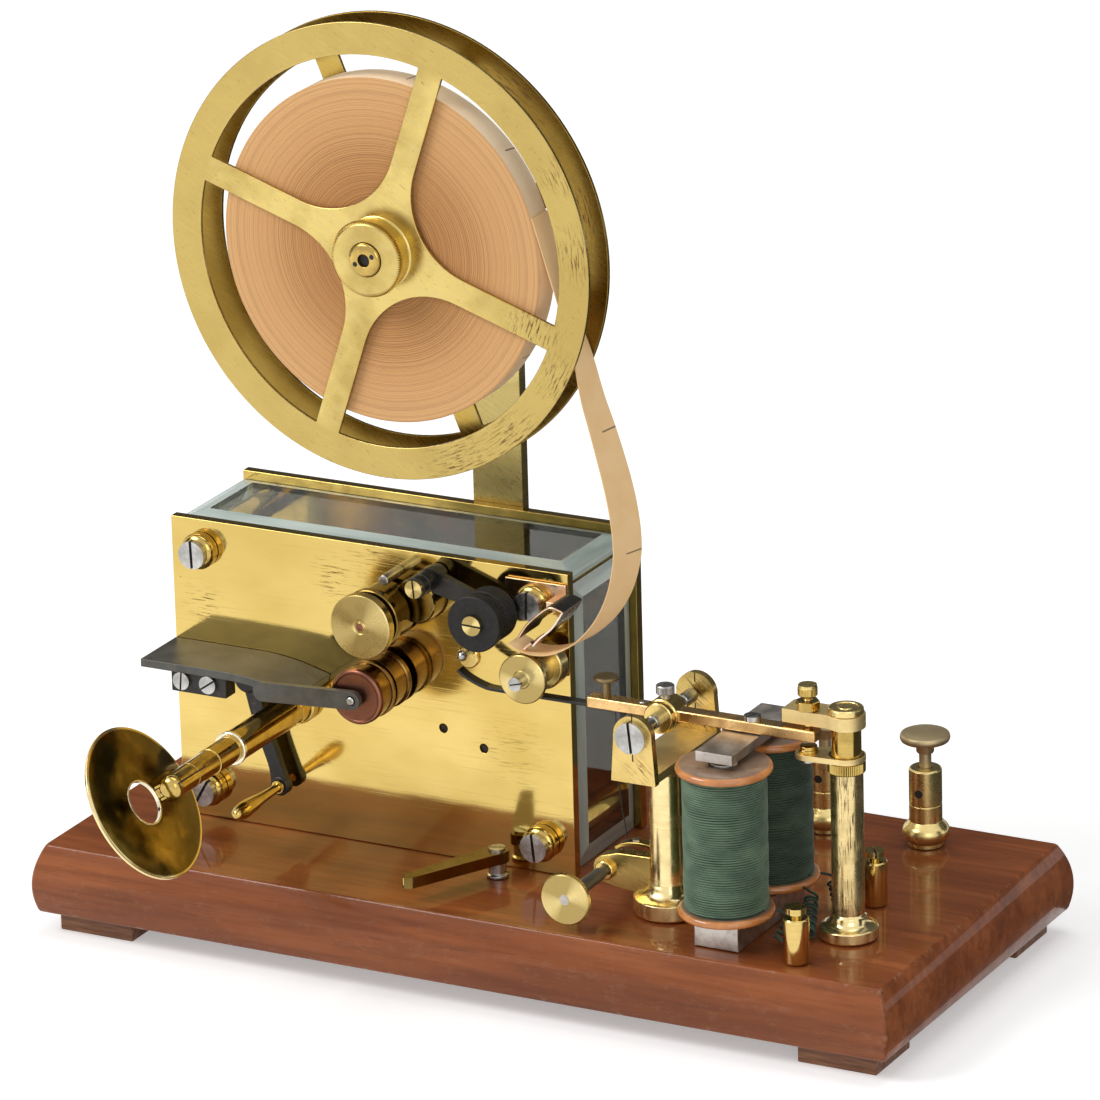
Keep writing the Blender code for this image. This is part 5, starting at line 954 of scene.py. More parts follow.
def toothed_wheel(name, teeth, radius, thickness, where, finish, depth, bore, spokes=0):
    """A wheel with plain pointed teeth and, with spokes, as many windows."""
    rim = []
    for k in range(teeth):
        for part, reach in ((0, radius - depth), (0.28, radius), (0.52, radius), (0.8, radius - depth)):
            angle = 2 * pi * (k + part) / teeth
            rim.append((reach * cos(angle), reach * sin(angle)))
    windows = [arc(0, 0, radius - 4.5, 90 * k + 12, 90 * k + 78, 8) + arc(0, 0, 6, 90 * k + 66,
                                                                          90 * k + 24, 4)
               for k in range(spokes)]
    return cut_sheet(name, [rim] + windows + [circle(0, 0, bore)], thickness, where, finish, 0.1)


fit("roller_train", "copper_bronze",
    toothed_wheel("third_wheel", 32, 21, 2, (87.1, 24, 65.19), OLIVE_BRASS, 1.2, 2, 4),
    toothed_wheel("roller_pinion", 8, 4, 6, (87.1, 48, 65.19), SCREW_STEEL, 1, 1.5))
print("clockwork dressed")

# %% [markdown]
# ## Feed rollers
# The tape runs between two rollers. The lower one is bronze and driven by the clockwork, with
# a red-brown face and a dark groove at its middle; its drum is darkened as painted shade. The
# upper one is pale brass and presses down on the tape; its face shows the lathe's rings round a
# deep centre under a painted fan of sheen, and its drum is darkened as painted shade too.

# %% Feed rollers
LOWER_ROLLER = (87.1, 0, 65.19)
UPPER_ROLLER = (89.7, 0, 91.89)
drum = [(23.5, 10), (22.9, 10.1), (14.9, 9.8), (14.6, 10.55), (13.8, 10.55), (13.5, 8.6), (12.7, 8.6),
        (12.4, 10.55), (11.6, 10.55), (11.3, 9.9), (4.2, 9.9), (3.6, 10.6), (2, 10.6), (2, 2), (-51.4, 2)]
face = [(23.7, 8.6), (24, 9), *bow((24, 9.3), (23.4, 10.15), 0.12, 4), (21.9, 10.3)]
# The lower drum takes bronze darkened as painted shade.
fit("roller_train", "copper_bronze",
    turn("lower_roller_drum", drum, LOWER_ROLLER, SHADED_ROLLER_BRONZE), "lower_roller",
    turn("lower_roller_pin", [(28.6, 1), (28.2, 1.5), (24, 1.5)], LOWER_ROLLER, SCREW_STEEL),
    turn("lower_roller_face", face, LOWER_ROLLER, ROLLER_RED))
drum = [(20, 8), (17, 8), (17, 10.9), (16.6, 11.4), (13.9, 11.4), (13.5, 10.9), (13.5, 8.9), (12.2, 8.9),
        (12.2, 10.2), (2, 10.2), (2, 2), (-8, 2)]
face = [(24.2, 1.6), (23.7, 1.9), (23.7, 2.5), (24, 2.8), (24, 11.5), (23.6, 11.85), (20.4, 11.85),
        (20, 11.4)]
pit = [(24.5, 0.5), (24.25, 1), (24.25, 1.45), (24.1, 1.5)]
# The upper drum is darkened as painted shade, and the face carries a painted fan of sheen.
fit("upper_feed", "brass",
    turn("upper_roller_drum", drum, UPPER_ROLLER, DARK_AND_SHADED_BRASS), "upper_roller",
    turn("upper_roller_face", face, UPPER_ROLLER, SHEEN_PAINTED_BRASS),
    turn("upper_roller_pit", pit, UPPER_ROLLER, ROLLER_RED))
pin = [(12.5, 1.6), (12.2, 1.9), (0.2, 1.9)]
fit("base", "bright_steel", turn("tape_pin", pin, (93.2, 0, 106), SCREW_STEEL))
cap = [(9, 7.6), (8.4, 8.2), (1, 8.2), (0.2, 8.8)]
# The boss is darkened as painted shade.
fit("base", "brass", turn("roller_bridge_boss", cap, (103.5, 0, 98.5), DARK_AND_SHADED_BRASS))
print("rollers", LOWER_ROLLER[2], "and", UPPER_ROLLER[2], "mm above the board")

# %% [markdown]
# ## Tape table and fork
# Finished tape slides down a slate-grey steel table that bends toward the rollers. It is bent
# sheet, so it is cut here from its side view and widened. The block under it takes two screws,
# and a flat arm reaches from the table's end to the lower roller's pin.

# %% Tape table
TABLE_LINE = through([(0, 65.9), (20, 65.9), (35.5, 65.85), (42, 65.5), (50, 64.4), (57, 62.7), (63, 61.1)])
fork = [bar_outline((51, 63.19), (87.1, 65.19), 3.6, 3.4), circle(87.1, 65.19, 1.8)]
fit("base", "dark_steel",
    bend_strip("bent_tape_table", TABLE_LINE, 3, 25, (0, -0.3, 0), SLATE_STEEL, 0.25), "tape_table",
    plane_bar("table_block", (22.5, 6.6, 8), (23.2, -21, 60.9), BLACK_STEEL, 0.35),
    cut_sheet("roller_fork", fork, 2.2, (0, -25.6, 0), SLATE_STEEL), "fork_arm")
fit("base", "bright_steel",
    slotted("table_screw_left", 3.3, 1.5, (16.6, -24.2, 61.4), turned=85),
    slotted("table_screw_right", 3.3, 1.5, (27.4, -24.2, 61.4), turned=35))
print("table drops", round(TABLE_LINE[0][1] - TABLE_LINE[-1][1], 1), "mm to its end")

# %% [markdown]
# ## Ink wheel
# A black arm swings from a boss near the plate's top and carries the inked wheel over the tape.
# The front disc is hard rubber with a brass screw; behind it the felt is ribbed, so its turning
# profile has every second point cut back.

# %% Ink wheel
INK_PIVOT = (109, 0, 107.1)
INK_WHEEL = (135.1, 0, 99.4)
RIB = 0.25
boss = [(17.9, 3.6), (17.5, 3.9), (14.5, 3.9), (14.3, 3.5), (13.8, 3.5), (13.6, 3.9), (0.6, 3.9),
        (0.6, 2), (-8, 2)]
# The two brass screws carry a painted fan of sheen.
fit("inker", "dark_steel",
    cut_sheet("ink_arm_bar", [bar_outline((0, 0), (26.1, -7.7), 4.2, 2.5)], 2.4, deep(INK_PIVOT, -5.6),
              BLACK_STEEL),
    "ink_arm",
    turn("ink_arm_boss", boss, INK_PIVOT, BLACK_STEEL),
    slotted("ink_arm_screw", 3.3, 1.5, deep(INK_PIVOT, -17.9), finish=SHEEN_PAINTED_BRASS, turned=95),
    turn("ink_wheel_pin", [(24.2, 1.5), (7.5, 1.5)], INK_WHEEL, SCREW_STEEL),
    slotted("ink_wheel_screw", 3.6, 1.4, deep(INK_WHEEL, -24.3), finish=SHEEN_PAINTED_BRASS, turned=-2))
disc = [(24, 1.8), (24, 9.8), (23.6, 10.2), (20.4, 10.2), (20, 9.9), (20, 9.2), (19.3, 9.2)]
felt = [(19.3, 9.7, RIB), (16.6, 9.7, RIB), (16.4, 9.3), (16, 9.3), (15.8, 9.7, RIB), (9.4, 9.7, RIB),
        (9, 9.3), (9, 1.8)]
wheel = turn("ink_wheel_felt", disc + felt, INK_WHEEL, INK_BLACK, steps=120, eased=0, hollow=True)
fit("inking_wheel", "ink_black", wheel, "ink_roller")
print("ink wheel hangs", INK_WHEEL[0] - INK_PIVOT[0], "mm right of its pivot")

# %% [markdown]
# ## Writing roller and stops
# Under the ink wheel the tape passes over a small brass roller with two flanges, held by a long
# steel screw. Beside it stand a brass washer and a round-headed stop screw.

# %% Writing roller
WRITING = (153.6, 0, 81.8)
drum = [(24.4, 3), (24, 3.3), (24, 8.6), (23.6, 9), (22, 9), (21.6, 8.6), (21.6, 5.5), (10, 5.5), (10, 7.9),
        (9.5, 8.4), (4.6, 8.4), (4, 7.9), (4, 2), (-4, 2)]
# The writing roller's brass carries a painted fan of sheen.
fit("writing_wheel", "brass",
    turn("writing_roller_drum", drum, WRITING, SHEEN_PAINTED_BRASS), "writing_roller",
    turn("writing_roller_stem", [(27.9, 2.3), (24.2, 2.3)], WRITING, SCREW_STEEL),
    slotted("writing_roller_screw", 2.5, 1.5, deep(WRITING, -27.9), turned=15))
fit("base", "brass", turn("stop_washer", [(1.4, 3.7), (1, 4.2), (0.1, 4.2)], (120, 0, 77.6), BRASS))
ball = [(7.6, 0), *bow((7.5, 0.6), (4.2, 1.7), 0.75), (3.6, 1.2), (1, 1.2)]
fit("base", "bright_steel", turn("stop_screw", ball, (120.3, 0, 79.6), SCREW_STEEL))
print("writing roller under the wheel by", round(INK_WHEEL[2] - WRITING[2], 1), "mm")

# %% [markdown]
# ## Tape guide
# A bent copper guide behind the top right bolt leads the tape round to the writing roller. It
# is a trough of thin sheet on a strap, with two prongs below that keep the tape from climbing
# and a polished leaf at its mouth. The trough takes black steel as painted shade for its
# shadowed inside.

# %% Tape guide
GUIDE = (147.5, -7.5, 102.5)
TROUGH_WIDE = 14.5
trough = through([(4.3, -6), (7.5, -1.2), (12, 3.2), (17, 6.7), (21.8, 5.7)], 5)
leaf = through([(21.8, 5.7), (17.5, -0.7), (12.5, -5.3), (9.7, -8.5)])
prong = through([(9, -7.6), (6.6, -9.6), (4.4, -13), (4, -15.4)])
edge = [(GUIDE[0] + x, -22, GUIDE[2] + z) for x, z in trough]
fit("base", "copper_bronze",
    # Painted shade: the copper trough takes black steel for its shadowed inside.
    bend_strip("guide_trough", trough, 0.9, TROUGH_WIDE, GUIDE, BLACK_STEEL), "tape_guide",
    bend_strip("guide_leaf", leaf, 0.7, TROUGH_WIDE, GUIDE, LEAF_METAL, 0.12),
    draw_wire("guide_edge", edge, 0.4, GUIDE_COPPER, sides=1),
    plane_bar("guide_strap", (24, 1.2, 9), (148, -0.9, 105.4), GUIDE_COPPER, 0.25),
    plane_bar("guide_link", (4, 8, 3.2), (157.6, -4.6, 104.2), GUIDE_COPPER),
    bend_strip("guide_prong_front", prong, 1, 2.2, deep(GUIDE, -19.5), GUIDE_COPPER),
    bend_strip("guide_prong_back", prong, 1, 2.2, deep(GUIDE, -11.3), GUIDE_COPPER))
print("guide reaches", GUIDE[0] + 21.8, "mm along the plate")

# %% [markdown]
# ## Reel
# The reel is two brass wheels with four spokes that widen toward the hub in long curves. One
# window is drawn once, from its outer arc and the round corner at the hub, and turned to four
# places. The rear wheel sits turned a little further, as the real one does.

# %% Reel wheels
REEL = (102.7, 0, 231)
RIM, INNER_RIM, SPOKE, FILLET = 81.7, 70.2, 4.7, 28.4


def reel_window(turned):
    lean = atan2(SPOKE, INNER_RIM) * 180 / pi
    outer = arc(0, 0, INNER_RIM, turned + lean, turned + 90 - lean, 26)
    out = (SPOKE + FILLET) / sin(pi / 4)
    middle = radians(turned + 45)
    return outer + arc(out * cos(middle), out * sin(middle), FILLET, turned + 180, turned + 270, 16)


def reel_wheel(name, first_spoke, bore, y, finish):
    windows = [reel_window(first_spoke + 90 * k) for k in range(4)]
    return cut_sheet(name, [circle(0, 0, RIM, 160)] + windows + [circle(0, 0, bore, 64)], 1.5,
                     deep(REEL, y), finish,
                     0.3)


collar = [(31, 9.3), (31, 12), (30.6, 12.4), *bow((26.4, 12.4), (25, 13.2), -0.3, 4), (24.6, 13.2),
          (24.6, 9.3)]
sleeve = [(30.7, 4.3), (30.7, 9), (8.7, 9), (8.7, 4.3)]
# The back wheel's brass is darkened as painted shade.
fit("reel", "old_brass",
    reel_wheel("front_reel_wheel", 71.2, 9.6, -23.5, REEL_BRASS), "reel_flange_front",
    reel_wheel("back_reel_wheel", 112.2, 8.7, -9, SHADED_REEL_BACK_BRASS), "reel_flange_back",
    turn("reel_collar", collar, REEL, REEL_BRASS, hollow=True),
    turn("reel_sleeve", sleeve, REEL, OLIVE_BRASS, hollow=True))
print("reel", 2 * RIM, "mm across")

# %% [markdown]
# ## Reel nut and axle
# A knurled nut holds the wheels, and a round bush with two spanner holes and a dark middle
# caps the axle; the holes and the middle are dark discs of painted shade. The axle runs back
# over the case into a flat brass post.

# %% Nut, axle and post
KNURL = 0.6
POST_HALF = 10
rim = [(33.9, 6.3), (33.9, 12.3), (33.7, 12.6), (33.6, 13.2, KNURL), (33.1, 13.7, KNURL), (31.7, 13.7, KNURL),
       (31.3, 13), (31.3, 6.3)]
nut = turn("knurled_reel_nut", rim, REEL, REEL_BRASS, steps=200, eased=0, hollow=True)
fit("nut", "old_brass", nut, "reel_nut")
bush = [(33.6, 2.1), (35.3, 2.3), (35.3, 4.6), *bow((35.2, 4.9), (34.2, 6), 0.25, 5), (31, 6), (31, 4),
        (8.4, 4)]
axle = [(8.4, 5.5), (-55.7, 5.5), (-55.7, 4), (-61.3, 4), (-61.3, 7), (-65.3, 7)]
hole = [(35.34, 0.9), (35.2, 0.95)]
outline = arc(0, 0, POST_HALF, 0, 180, 40) + [(-POST_HALF, 0.3 - REEL[2]), (POST_HALF, 0.3 - REEL[2])]
fit("base", "old_brass",
    turn("reel_axle_bar", bush + axle, REEL, OLIVE_BRASS), "reel_axle",
    # Painted shade: the spanner holes and the axle's middle are dark discs.
    turn("spanner_hole_left", hole, (REEL[0] - 3.3, 0, REEL[2] - 1.6), PAINTED_HOLE_SHADE, steps=24, eased=0),
    turn("spanner_hole_right", hole, (REEL[0] + 3.3, 0, REEL[2] + 1.7), PAINTED_HOLE_SHADE, steps=24, eased=0),
    turn("axle_centre", [(33.9, 2.05), (33.5, 2.05)], REEL, PAINTED_HOLE_SHADE, steps=32, eased=0),
    cut_sheet("flat_reel_post", [outline, circle(0, 0, 4.3, 32)], 5, deep(REEL, 61), POST_BRASS, 0.4),
    "reel_post")
print("post", REEL[2] + POST_HALF, "mm tall")

# %% [markdown]
# ## Paper roll and tape
# The roll is one turned drum with its rings painted on the flat side. The free tape leaves it on
# the right, falls in a long curve and turns back under the guide. It is a thin ribbon along a
# smooth line, with its length kept as a texture coordinate for the pen strokes.

# %% Paper roll
ROLL = 61.6
ROLL_FRONT = 22.75
BORE = 9.3
roll = [(22.7, BORE), (ROLL_FRONT, 40), (ROLL_FRONT, ROLL - 0.4), (22.5, ROLL), (11.5, ROLL),
        (11.25, ROLL - 0.4),
        (11.25, BORE)]
paper = turn("wound_paper", roll, REEL, (ROLL_PAPER, RIM_PAPER), steps=180, eased=0, hollow=True)
for face in paper.data.polygons:
    if abs(face.normal.z) < 0.3 and hypot(face.center.x, face.center.y) > (ROLL - 2.6) * MM:
        face.material_index = 1
fit("reel", "paper", paper, "paper_roll")
rim_uv = paper.data.uv_layers.new(name="UVMap")
for loop in paper.data.loops:
    x, y, z = paper.data.vertices[loop.vertex_index].co
    rim_uv.data[loop.index].uv = ((atan2(y, x) % (2 * pi)) * ROLL, ROLL_FRONT - z / MM)
print("roll", 2 * ROLL, "mm across")

# %% Free tape
TAPE_WIDE, TAPE_Y = 11.5, -17
FALL = ((17.2, 86.9), (20.5, 72.9), (23.6, 63.2), (26.5, 53.6), (29.2, 43.8), (31.3, 34), (32.5, 23.8),
        (32.2, 15),
        (29, 2.9), (22.9, -7.8), (14, -16.5), (4, -21.5), (-5, -22.3), (-12.2, -19.7))


def tape_line():
    """From the roll, which it leaves straight, down through the places seen beside the plate."""
    fall = [(PLATE_LONG + x, PLATE_HIGH + z) for x, z in FALL]
    wound = ROLL + 0.35
    right, above = fall[0][0] - REEL[0], fall[0][1] - REEL[2]
    leave = atan2(above, right) + acos(wound / hypot(right, above))
    start = (REEL[0] + wound * cos(leave), REEL[2] + wound * sin(leave))
    slack = [tuple(a + (b - a) * t for a, b in zip(start, fall[0])) for t in (0, 0.3, 0.6, 0.82)]
    return through(slack + fall, 6)


def free_tape():
    line = tape_line()
    work = bmesh.new()
    uv = work.loops.layers.uv.new("UVMap")
    left, right = strip_sides(line, [0.3] * len(line))
    gone = [0.0]
    for a, b in zip(line, line[1:]):
        gone.append(gone[-1] + hypot(b[0] - a[0], b[1] - a[1]))
    rows = []
    for one, other, way in zip(left, right, gone):
        twist = 0.55 * sin(pi * min(1.0, max(0.0, (way - 45) / 130)))
        half = TAPE_WIDE / 2
        row = [(one, -half), (one, half), (other, half), (other, -half)]
        rows.append([work.verts.new(((x + side * sin(twist)) * MM, (side * cos(twist) + TAPE_Y) * MM, z * MM))
                     for (x, z), side in row])
    for k in range(len(rows) - 1):
        for i in range(4):
            j = (i + 1) % 4
            face = work.faces.new((rows[k][i], rows[k][j], rows[k + 1][j], rows[k + 1][i]))
            for loop, row, corner in zip(face.loops, (k, k, k + 1, k + 1), (i, j, j, i)):
                loop[uv].uv = (gone[row] + 9, 0 if corner in (0, 3) else TAPE_WIDE)
    work.faces.new(rows[0])
    work.faces.new(rows[-1])
    print("free tape", round(gone[-1]), "mm long")
    return stand("free_paper_tape", work, TAPE_PAPER, (0, 0, 0), "up", 0)


fit("base", "paper", free_tape(), "paper_tape")

# %% [markdown]
# ## Winding lever
# A black steel crank under the table winds or stops the clockwork. It bends like a dog's hind
# leg, so its line is smoothed through six points and given a width at each. The handle is a
# slim brass pear on a pin.

# %% Winding lever
BARREL = (33.2, 0, 58.5)
THROW = (11.2, -39.5)
CRANK_END = (BARREL[0] + THROW[0], 0, BARREL[2] + THROW[1])
bend = through([(0, 0), (1.34, -4.74), (3.14, -12.64), (6.72, -24.49), (9.41, -32.39), THROW], 6)
widths = through([(8.2,), (6.4,), (5.8,), (5.2,), (5.2,), (7,)], 6)
hub = [(8.5, 4.4), (8, 5), (0.3, 5), (0.3, 2.5), (-8, 2.5)]
eye = [(7, 3.2), (6.7, 3.6), (3.4, 3.6), (3.1, 3.2)]
fit("winder", "dark_steel",
    bend_strip("winding_crank", bend, [w[0] for w in widths], 3.2, deep(BARREL, -3.3), BLACK_STEEL, 0.4),
    "winding_lever",
    turn("crank_hub", hub, BARREL, BLACK_STEEL),
    turn("crank_eye", eye, CRANK_END, BLACK_STEEL))
pear = through([(38.8, 0), (38.5, 1.2), (37.2, 2.2), (34.6, 2.9), (31.8, 3.1), (26.5, 2.8), (20, 2.1),
                (13, 1.7),
                (8.6, 1.6), (8.2, 2.4), (7.3, 2.4), (7.1, 1.4)])
pear = [(38.8, 0)] + [(h, max(r, 0.05)) for h, r in pear[1:]] + [(3, 1.4)]
fit("handle", "brass", turn("pear_handle", pear, CRANK_END, OLIVE_BRASS, eased=0), "winding_handle")
print("crank throw", round(hypot(*THROW), 1), "mm")

# %% [markdown]
# ## Take-up spool
# Written tape was wound on this polished tube, and the round flange at its nose folds flat so
# that the coil can be slipped off. The photograph shows it folded: a disc of olive brass whose
# round eye lets the nose through when it is closed. The disc's colour is darkened further as
# painted shade, and a thin bright band at its rim is a painted highlight.

# %% Spool
SPOOL = (51.3, 0, 50)
SPOOL_NOSE = Vector(deep(SPOOL, -91))
LEAN = radians(32)
FACING["spool's slit"] = (0, pi / 2 - LEAN, 0)
outward = Vector((-cos(LEAN), 0, -sin(LEAN)))
across = Vector((sin(LEAN), 0, -cos(LEAN)))
tube = [(95.5, 0), *bow((95.4, 0.6), (91.2, 4.5), 1.3, 10), (81, 4.5), (80.8, 4.35), (80.2, 4.35), (80, 4.5),
        (66.2, 4.6), (66, 4.95), (51.6, 5.05), (51.4, 5.8), (50, 5.8), (12.2, 5.8), (11.8, 5.3),
        (9.6, 5.1), (9.6, 6),
        (3.9, 6), (3.6, 7), (0.3, 7), (0.3, 2), (-8, 2)]
bright_ring = [(52, 5), (52, 5.9), (51.6, 6.3), (50.3, 6.3), (49.9, 5.8)]
ears = [plane_bar(f"hinge_ear_{word}", (1, 1.6, 7.2), SPOOL_NOSE + outward * 3.6 + across * aside,
                  OLIVE_BRASS, 0.2,
                  "spool's slit") for word, aside in (("lower", -2.3), ("upper", 2.3))]
fit("spool", "brass",
    turn("take_up_tube", tube, SPOOL, OLIVE_BRASS), "take_up_spool",
    # The ring's nearly white brass is a painted highlight.
    turn("take_up_ring", bright_ring, SPOOL, PAINTED_HIGHLIGHT_BRASS, hollow=True),
    # The slit is a dark bar of painted shade.
    plane_bar("spool_slit", (0.5, 18, 9.114), deep(SPOOL, -84.5), PAINTED_HOLE_SHADE, 0, "spool's slit"),
    *ears)
print("spool", tube[0][0], "mm long")

# %% Folding flange
FLANGE = 28.4
FACING["flange's hinge"] = (0, pi - LEAN, 0)


def shaded_dish_brass():
    finish = new_finish("shaded_dish_brass", (0.46, 0.31, 0.08), 1.0, 0.14)
    radius = from_axis()
    cloud = grain(0.07, 4)
    # The dark tones are olive brass darkened further as painted shade.
    tone = ramp(cloud, (0.36, (0.095, 0.06, 0.008)), (0.54, (0.16, 0.10, 0.015)), (0.76, (0.40, 0.25, 0.06)))
    # Painted highlight: a thin bright band round the rim.
    rim = mask(sums("DIVIDE", radius, FLANGE), 0.955, 0.975)
    paint(blend(rim, tone, (0.86, 0.68, 0.34)))
    roughen(mask(cloud, 0.4, 0.8), 0.1, 0.3)
    raise_by(rings_at(radius, 1.4, 0.40, 0.72), 0.004)
    raise_by(cloud, 0.15)
    return finish


hinge = SPOOL_NOSE + outward * 6.4
middle = hinge + outward * 1.75 + Vector((0, -9, 0))
disc = [(0.65, 7.9), (0.65, 27.9), (0.4, FLANGE), (-0.4, FLANGE), (-0.65, 27.9), (-0.65, 7.9)]
eyelet = [(0.75, 7.75), (0.75, 8.3), (0.6, 8.5), (-0.6, 8.5), (-0.75, 8.3), (-0.75, 7.75)]
fit("flange", "brass",
    turn("folding_flange", disc, middle, shaded_dish_brass(), "spool's slit", steps=128, hollow=True),
    "spool_flange",
    # The eyelet's nearly white brass is a painted highlight.
    turn("flange_eyelet", eyelet, middle, PAINTED_HIGHLIGHT_BRASS, "spool's slit", hollow=True),
    turn("flange_knuckle", [(1.5, 1.4), (-1.5, 1.4)], hinge, OLIVE_BRASS, "flange's hinge"))
print("flange", 2 * FLANGE, "mm across, hinged", round(hinge.y), "mm in front of the plate")

# %% [markdown]
# ## Start lever
# A small tapering brass lever on the board starts and stops the tape. It turns on a steel
# shoulder screw and ends in a little upright nib.

# %% Start lever
START = (134, -9.5)
stud = [(8.1, 3.2), (1.6, 3.2), (1.2, 4), (0.3, 4)]
fit("starter", "brass",
    cut_sheet("start_lever_blade", [bar_outline((0, 0), (-16.5, -34.5), 4.3, 2.5)], 4.2, (*START, 6),
              DARK_AND_SHADED_BRASS, 0.7,
              "up"), "start_lever",
    plane_bar("start_lever_nib", (2.6, 3.2, 3.4), (START[0] - 16.8, START[1] - 35.2, 8.4), BRASS, 0.5))
fit("starter", "bright_steel",
    turn("start_lever_stud", stud, (*START, 0), SCREW_STEEL, "up"),
    slotted("start_lever_screw", 3, 1.2, (*START, 9.9), "up", turned=20))
print("start lever", round(hypot(16.5, 34.5)), "mm long")

# %% [markdown]
# ## Electromagnet
# Two wooden bobbins stand on an iron bar and are wound with silk-covered wire. Some fifty-six
# turns show on each. They are one real helix, a thread nearly as thick as the step between turns,
# with a slight wander, because a hand laid it. A dark drum below keeps light from shining through;
# its darkness is painted shade in the gaps between turns. The back coil's silk is darkened as
# painted shade.

# %% Bobbins and windings
MAGNET_X = 235
COILS = {"front": -30.5, "back": 5}
PER_TURN = 40
dress("magnet_core", BAR_IRON, 0.5)


def silk_helix(word, low, high, radius, step, seed):
    hand = random.Random(seed)
    waves = [(hand.uniform(0.02, 0.16), hand.uniform(0.2, 1.1), hand.uniform(0, 6.3),
              hand.choice((1, 1, 2, 3)))
             for _ in range(7)]
    turns = int((high - low) / step)
    points = []
    for k in range(turns * PER_TURN + 1):
        angle = 2 * pi * k / PER_TURN
        height = low + (high - low) * k / (turns * PER_TURN)
        ease_in = min(1.0, (height - low) / 2, (high - height) / 2)
        drift = sum(size * sin(speed * height + phase + cycles * angle) for size, speed, phase,
                    cycles in waves)
        reach = radius + 0.3 * drift * ease_in
        points.append((reach * cos(angle), reach * sin(angle), height + 0.8 * drift * ease_in))
    print(word, "coil:", turns, "turns")
    return points


spool = [(65.8, 5.3), (65.8, 15.9), *bow((65.6, 16.4), (63.2, 16.4), 0.6), (63, 15.9), (63, 13.6),
         (13.4, 13.6),
         (13.4, 15.9), *bow((13.2, 16.4), (10.8, 16.4), 0.6), (10.6, 15.9), (10.6, 5.3)]
drum = [(62.9, 13.7), (62.9, 14.15), (13.5, 14.15), (13.5, 13.7)]
# The back coil's winding takes the silk darkened as painted shade.
for seed, (word, y), silk_colour in zip((20, 21), COILS.items(), (GREEN_SILK, PAINTED_SHADE_SILK)):
    foot = (MAGNET_X, y, 0)
    bobbin = turn(f"lacquered_bobbin_{word}", spool, foot, BOBBIN_WOOD, "up", eased=0.1, hollow=True)
    fit("base", "bobbin_wood", bobbin, f"bobbin_{word}")
    thread = silk_helix(word, 13.9, 62.5, 14.45, 0.86, seed)
    # The drum under the thread is painted shade for the gaps between turns.
    fit("base", "green_silk",
        turn(f"silk_drum_{word}", drum, foot, LEAD_SILK, "up", steps=64, eased=0, hollow=True),
        draw_wire(f"silk_winding_{word}", thread, 0.39, silk_colour, foot, 1), f"winding_{word}")

# %% [markdown]
# ## Curly leads
# From the foot of each bobbin a silk lead runs in loose curls to its terminal, where the curls
# take up the slack. Each is a helix along a line, with straight ends that run square into the
# bobbin's rim and the terminal.

# %% Curly leads
TERMINALS = ((265.3, -38), (267, 20.8))
PER_CURL, CURL = 16, 2.05
LEADS = (  # name, bobbin, terminal, where the curls start and end, how many, seed
    ("front", "front", 0, (255.2, -22.5, 8.6), (254.2, -29, 3.4), 4, 3),
    ("middle", "back", 0, (254.3, -3.5, 9.6), (262, -22, 3.4), 11, 4),
    ("back", "back", 1, (254, 14.5, 9.6), (259.5, 8, 3.4), 5, 5),
)


def curls(start, end, count, seed):
    hand = random.Random(seed)
    axis = (end - start).normalized()
    side = axis.cross(Vector((0, 0, 1))).normalized()
    up = side.cross(axis)
    points = []
    for k in range(count * PER_CURL + 1):
        angle = pi / 2 + 2 * pi * k / PER_CURL
        loose = CURL * (1 + 0.10 * sin(k * 0.21 + hand.uniform(0, 0.2)))
        points.append(start.lerp(end,
                                 k / (count * PER_CURL)) + side * (loose * cos(angle)) + up * (loose * sin(angle)))
    return points


for word, bobbin, terminal, start, end, count, seed in LEADS:
    foot = Vector((MAGNET_X, COILS[bobbin], 12))
    start, end = Vector(start), Vector(end)
    out = Vector((start.x - foot.x, start.y - foot.y, 0)).normalized()
    post = Vector((*TERMINALS[terminal], end.z))
    toward = (post - end).normalized()
    path = [foot + out * 16.9, foot + out * 18.2, *curls(start, end, count, seed), post - toward * 6,
            post - toward * 4.7]
    fit("base", "green_silk", draw_wire(f"silk_lead_{word}", path, 0.5, LEAD_SILK, smooth=True),
        f"lead_{word}")
print("leads:", len(LEADS))

# %% [markdown]
# ## Armature and lever
# The soft-iron keeper lies across both coils and is screwed to the long brass lever. The lever
# rocks on a pointed steel axle in a brass boss, and carries a springy steel tip that curls up
# under the writing roller.

# %% Lever and armature
dress("armature", SOFT_IRON, 0.35)
LEVER_Y, LEVER_LONG = -14, 88
PIVOT = (204.5, LEVER_Y, 73.7)
HEAD_KNURL = 0.12
boss = [(6.2, 5.2), (5.8, 5.6), (3.6, 5.6), (3.2, 6.2), (-3.2, 6.2), (-3.6, 5.6), (-5.8, 5.6), (-6.2, 5.2)]
thumb = [(84.2, 3.9), (83.8, 4.4), (83, 4.4), (82.6, 3.9), (82.6, 1.5), (76.4, 1.5)]
fit("lever", "brass",
    plane_bar("rocking_lever_bar", (LEVER_LONG, 6, 4.2), (219, LEVER_Y, 74.4), LEVER_BRASS, 0.7),
    "armature_lever",
    turn("axle_boss", boss, PIVOT, BRASS),
    turn("spring_thumb_screw", thumb, (181.6, LEVER_Y, 0), TARNISHED_BRASS, "up"))
axle = [(22.2, 0), (19.6, 2.6), (12.2, 2.6), (11.8, 2.2), (11.2, 2.2), (10.8, 2.6), (6, 2.6)]
head = [(84.4, 2.9), (84, 3.3, HEAD_KNURL), (81.4, 3.3, HEAD_KNURL), (81, 2.9)]
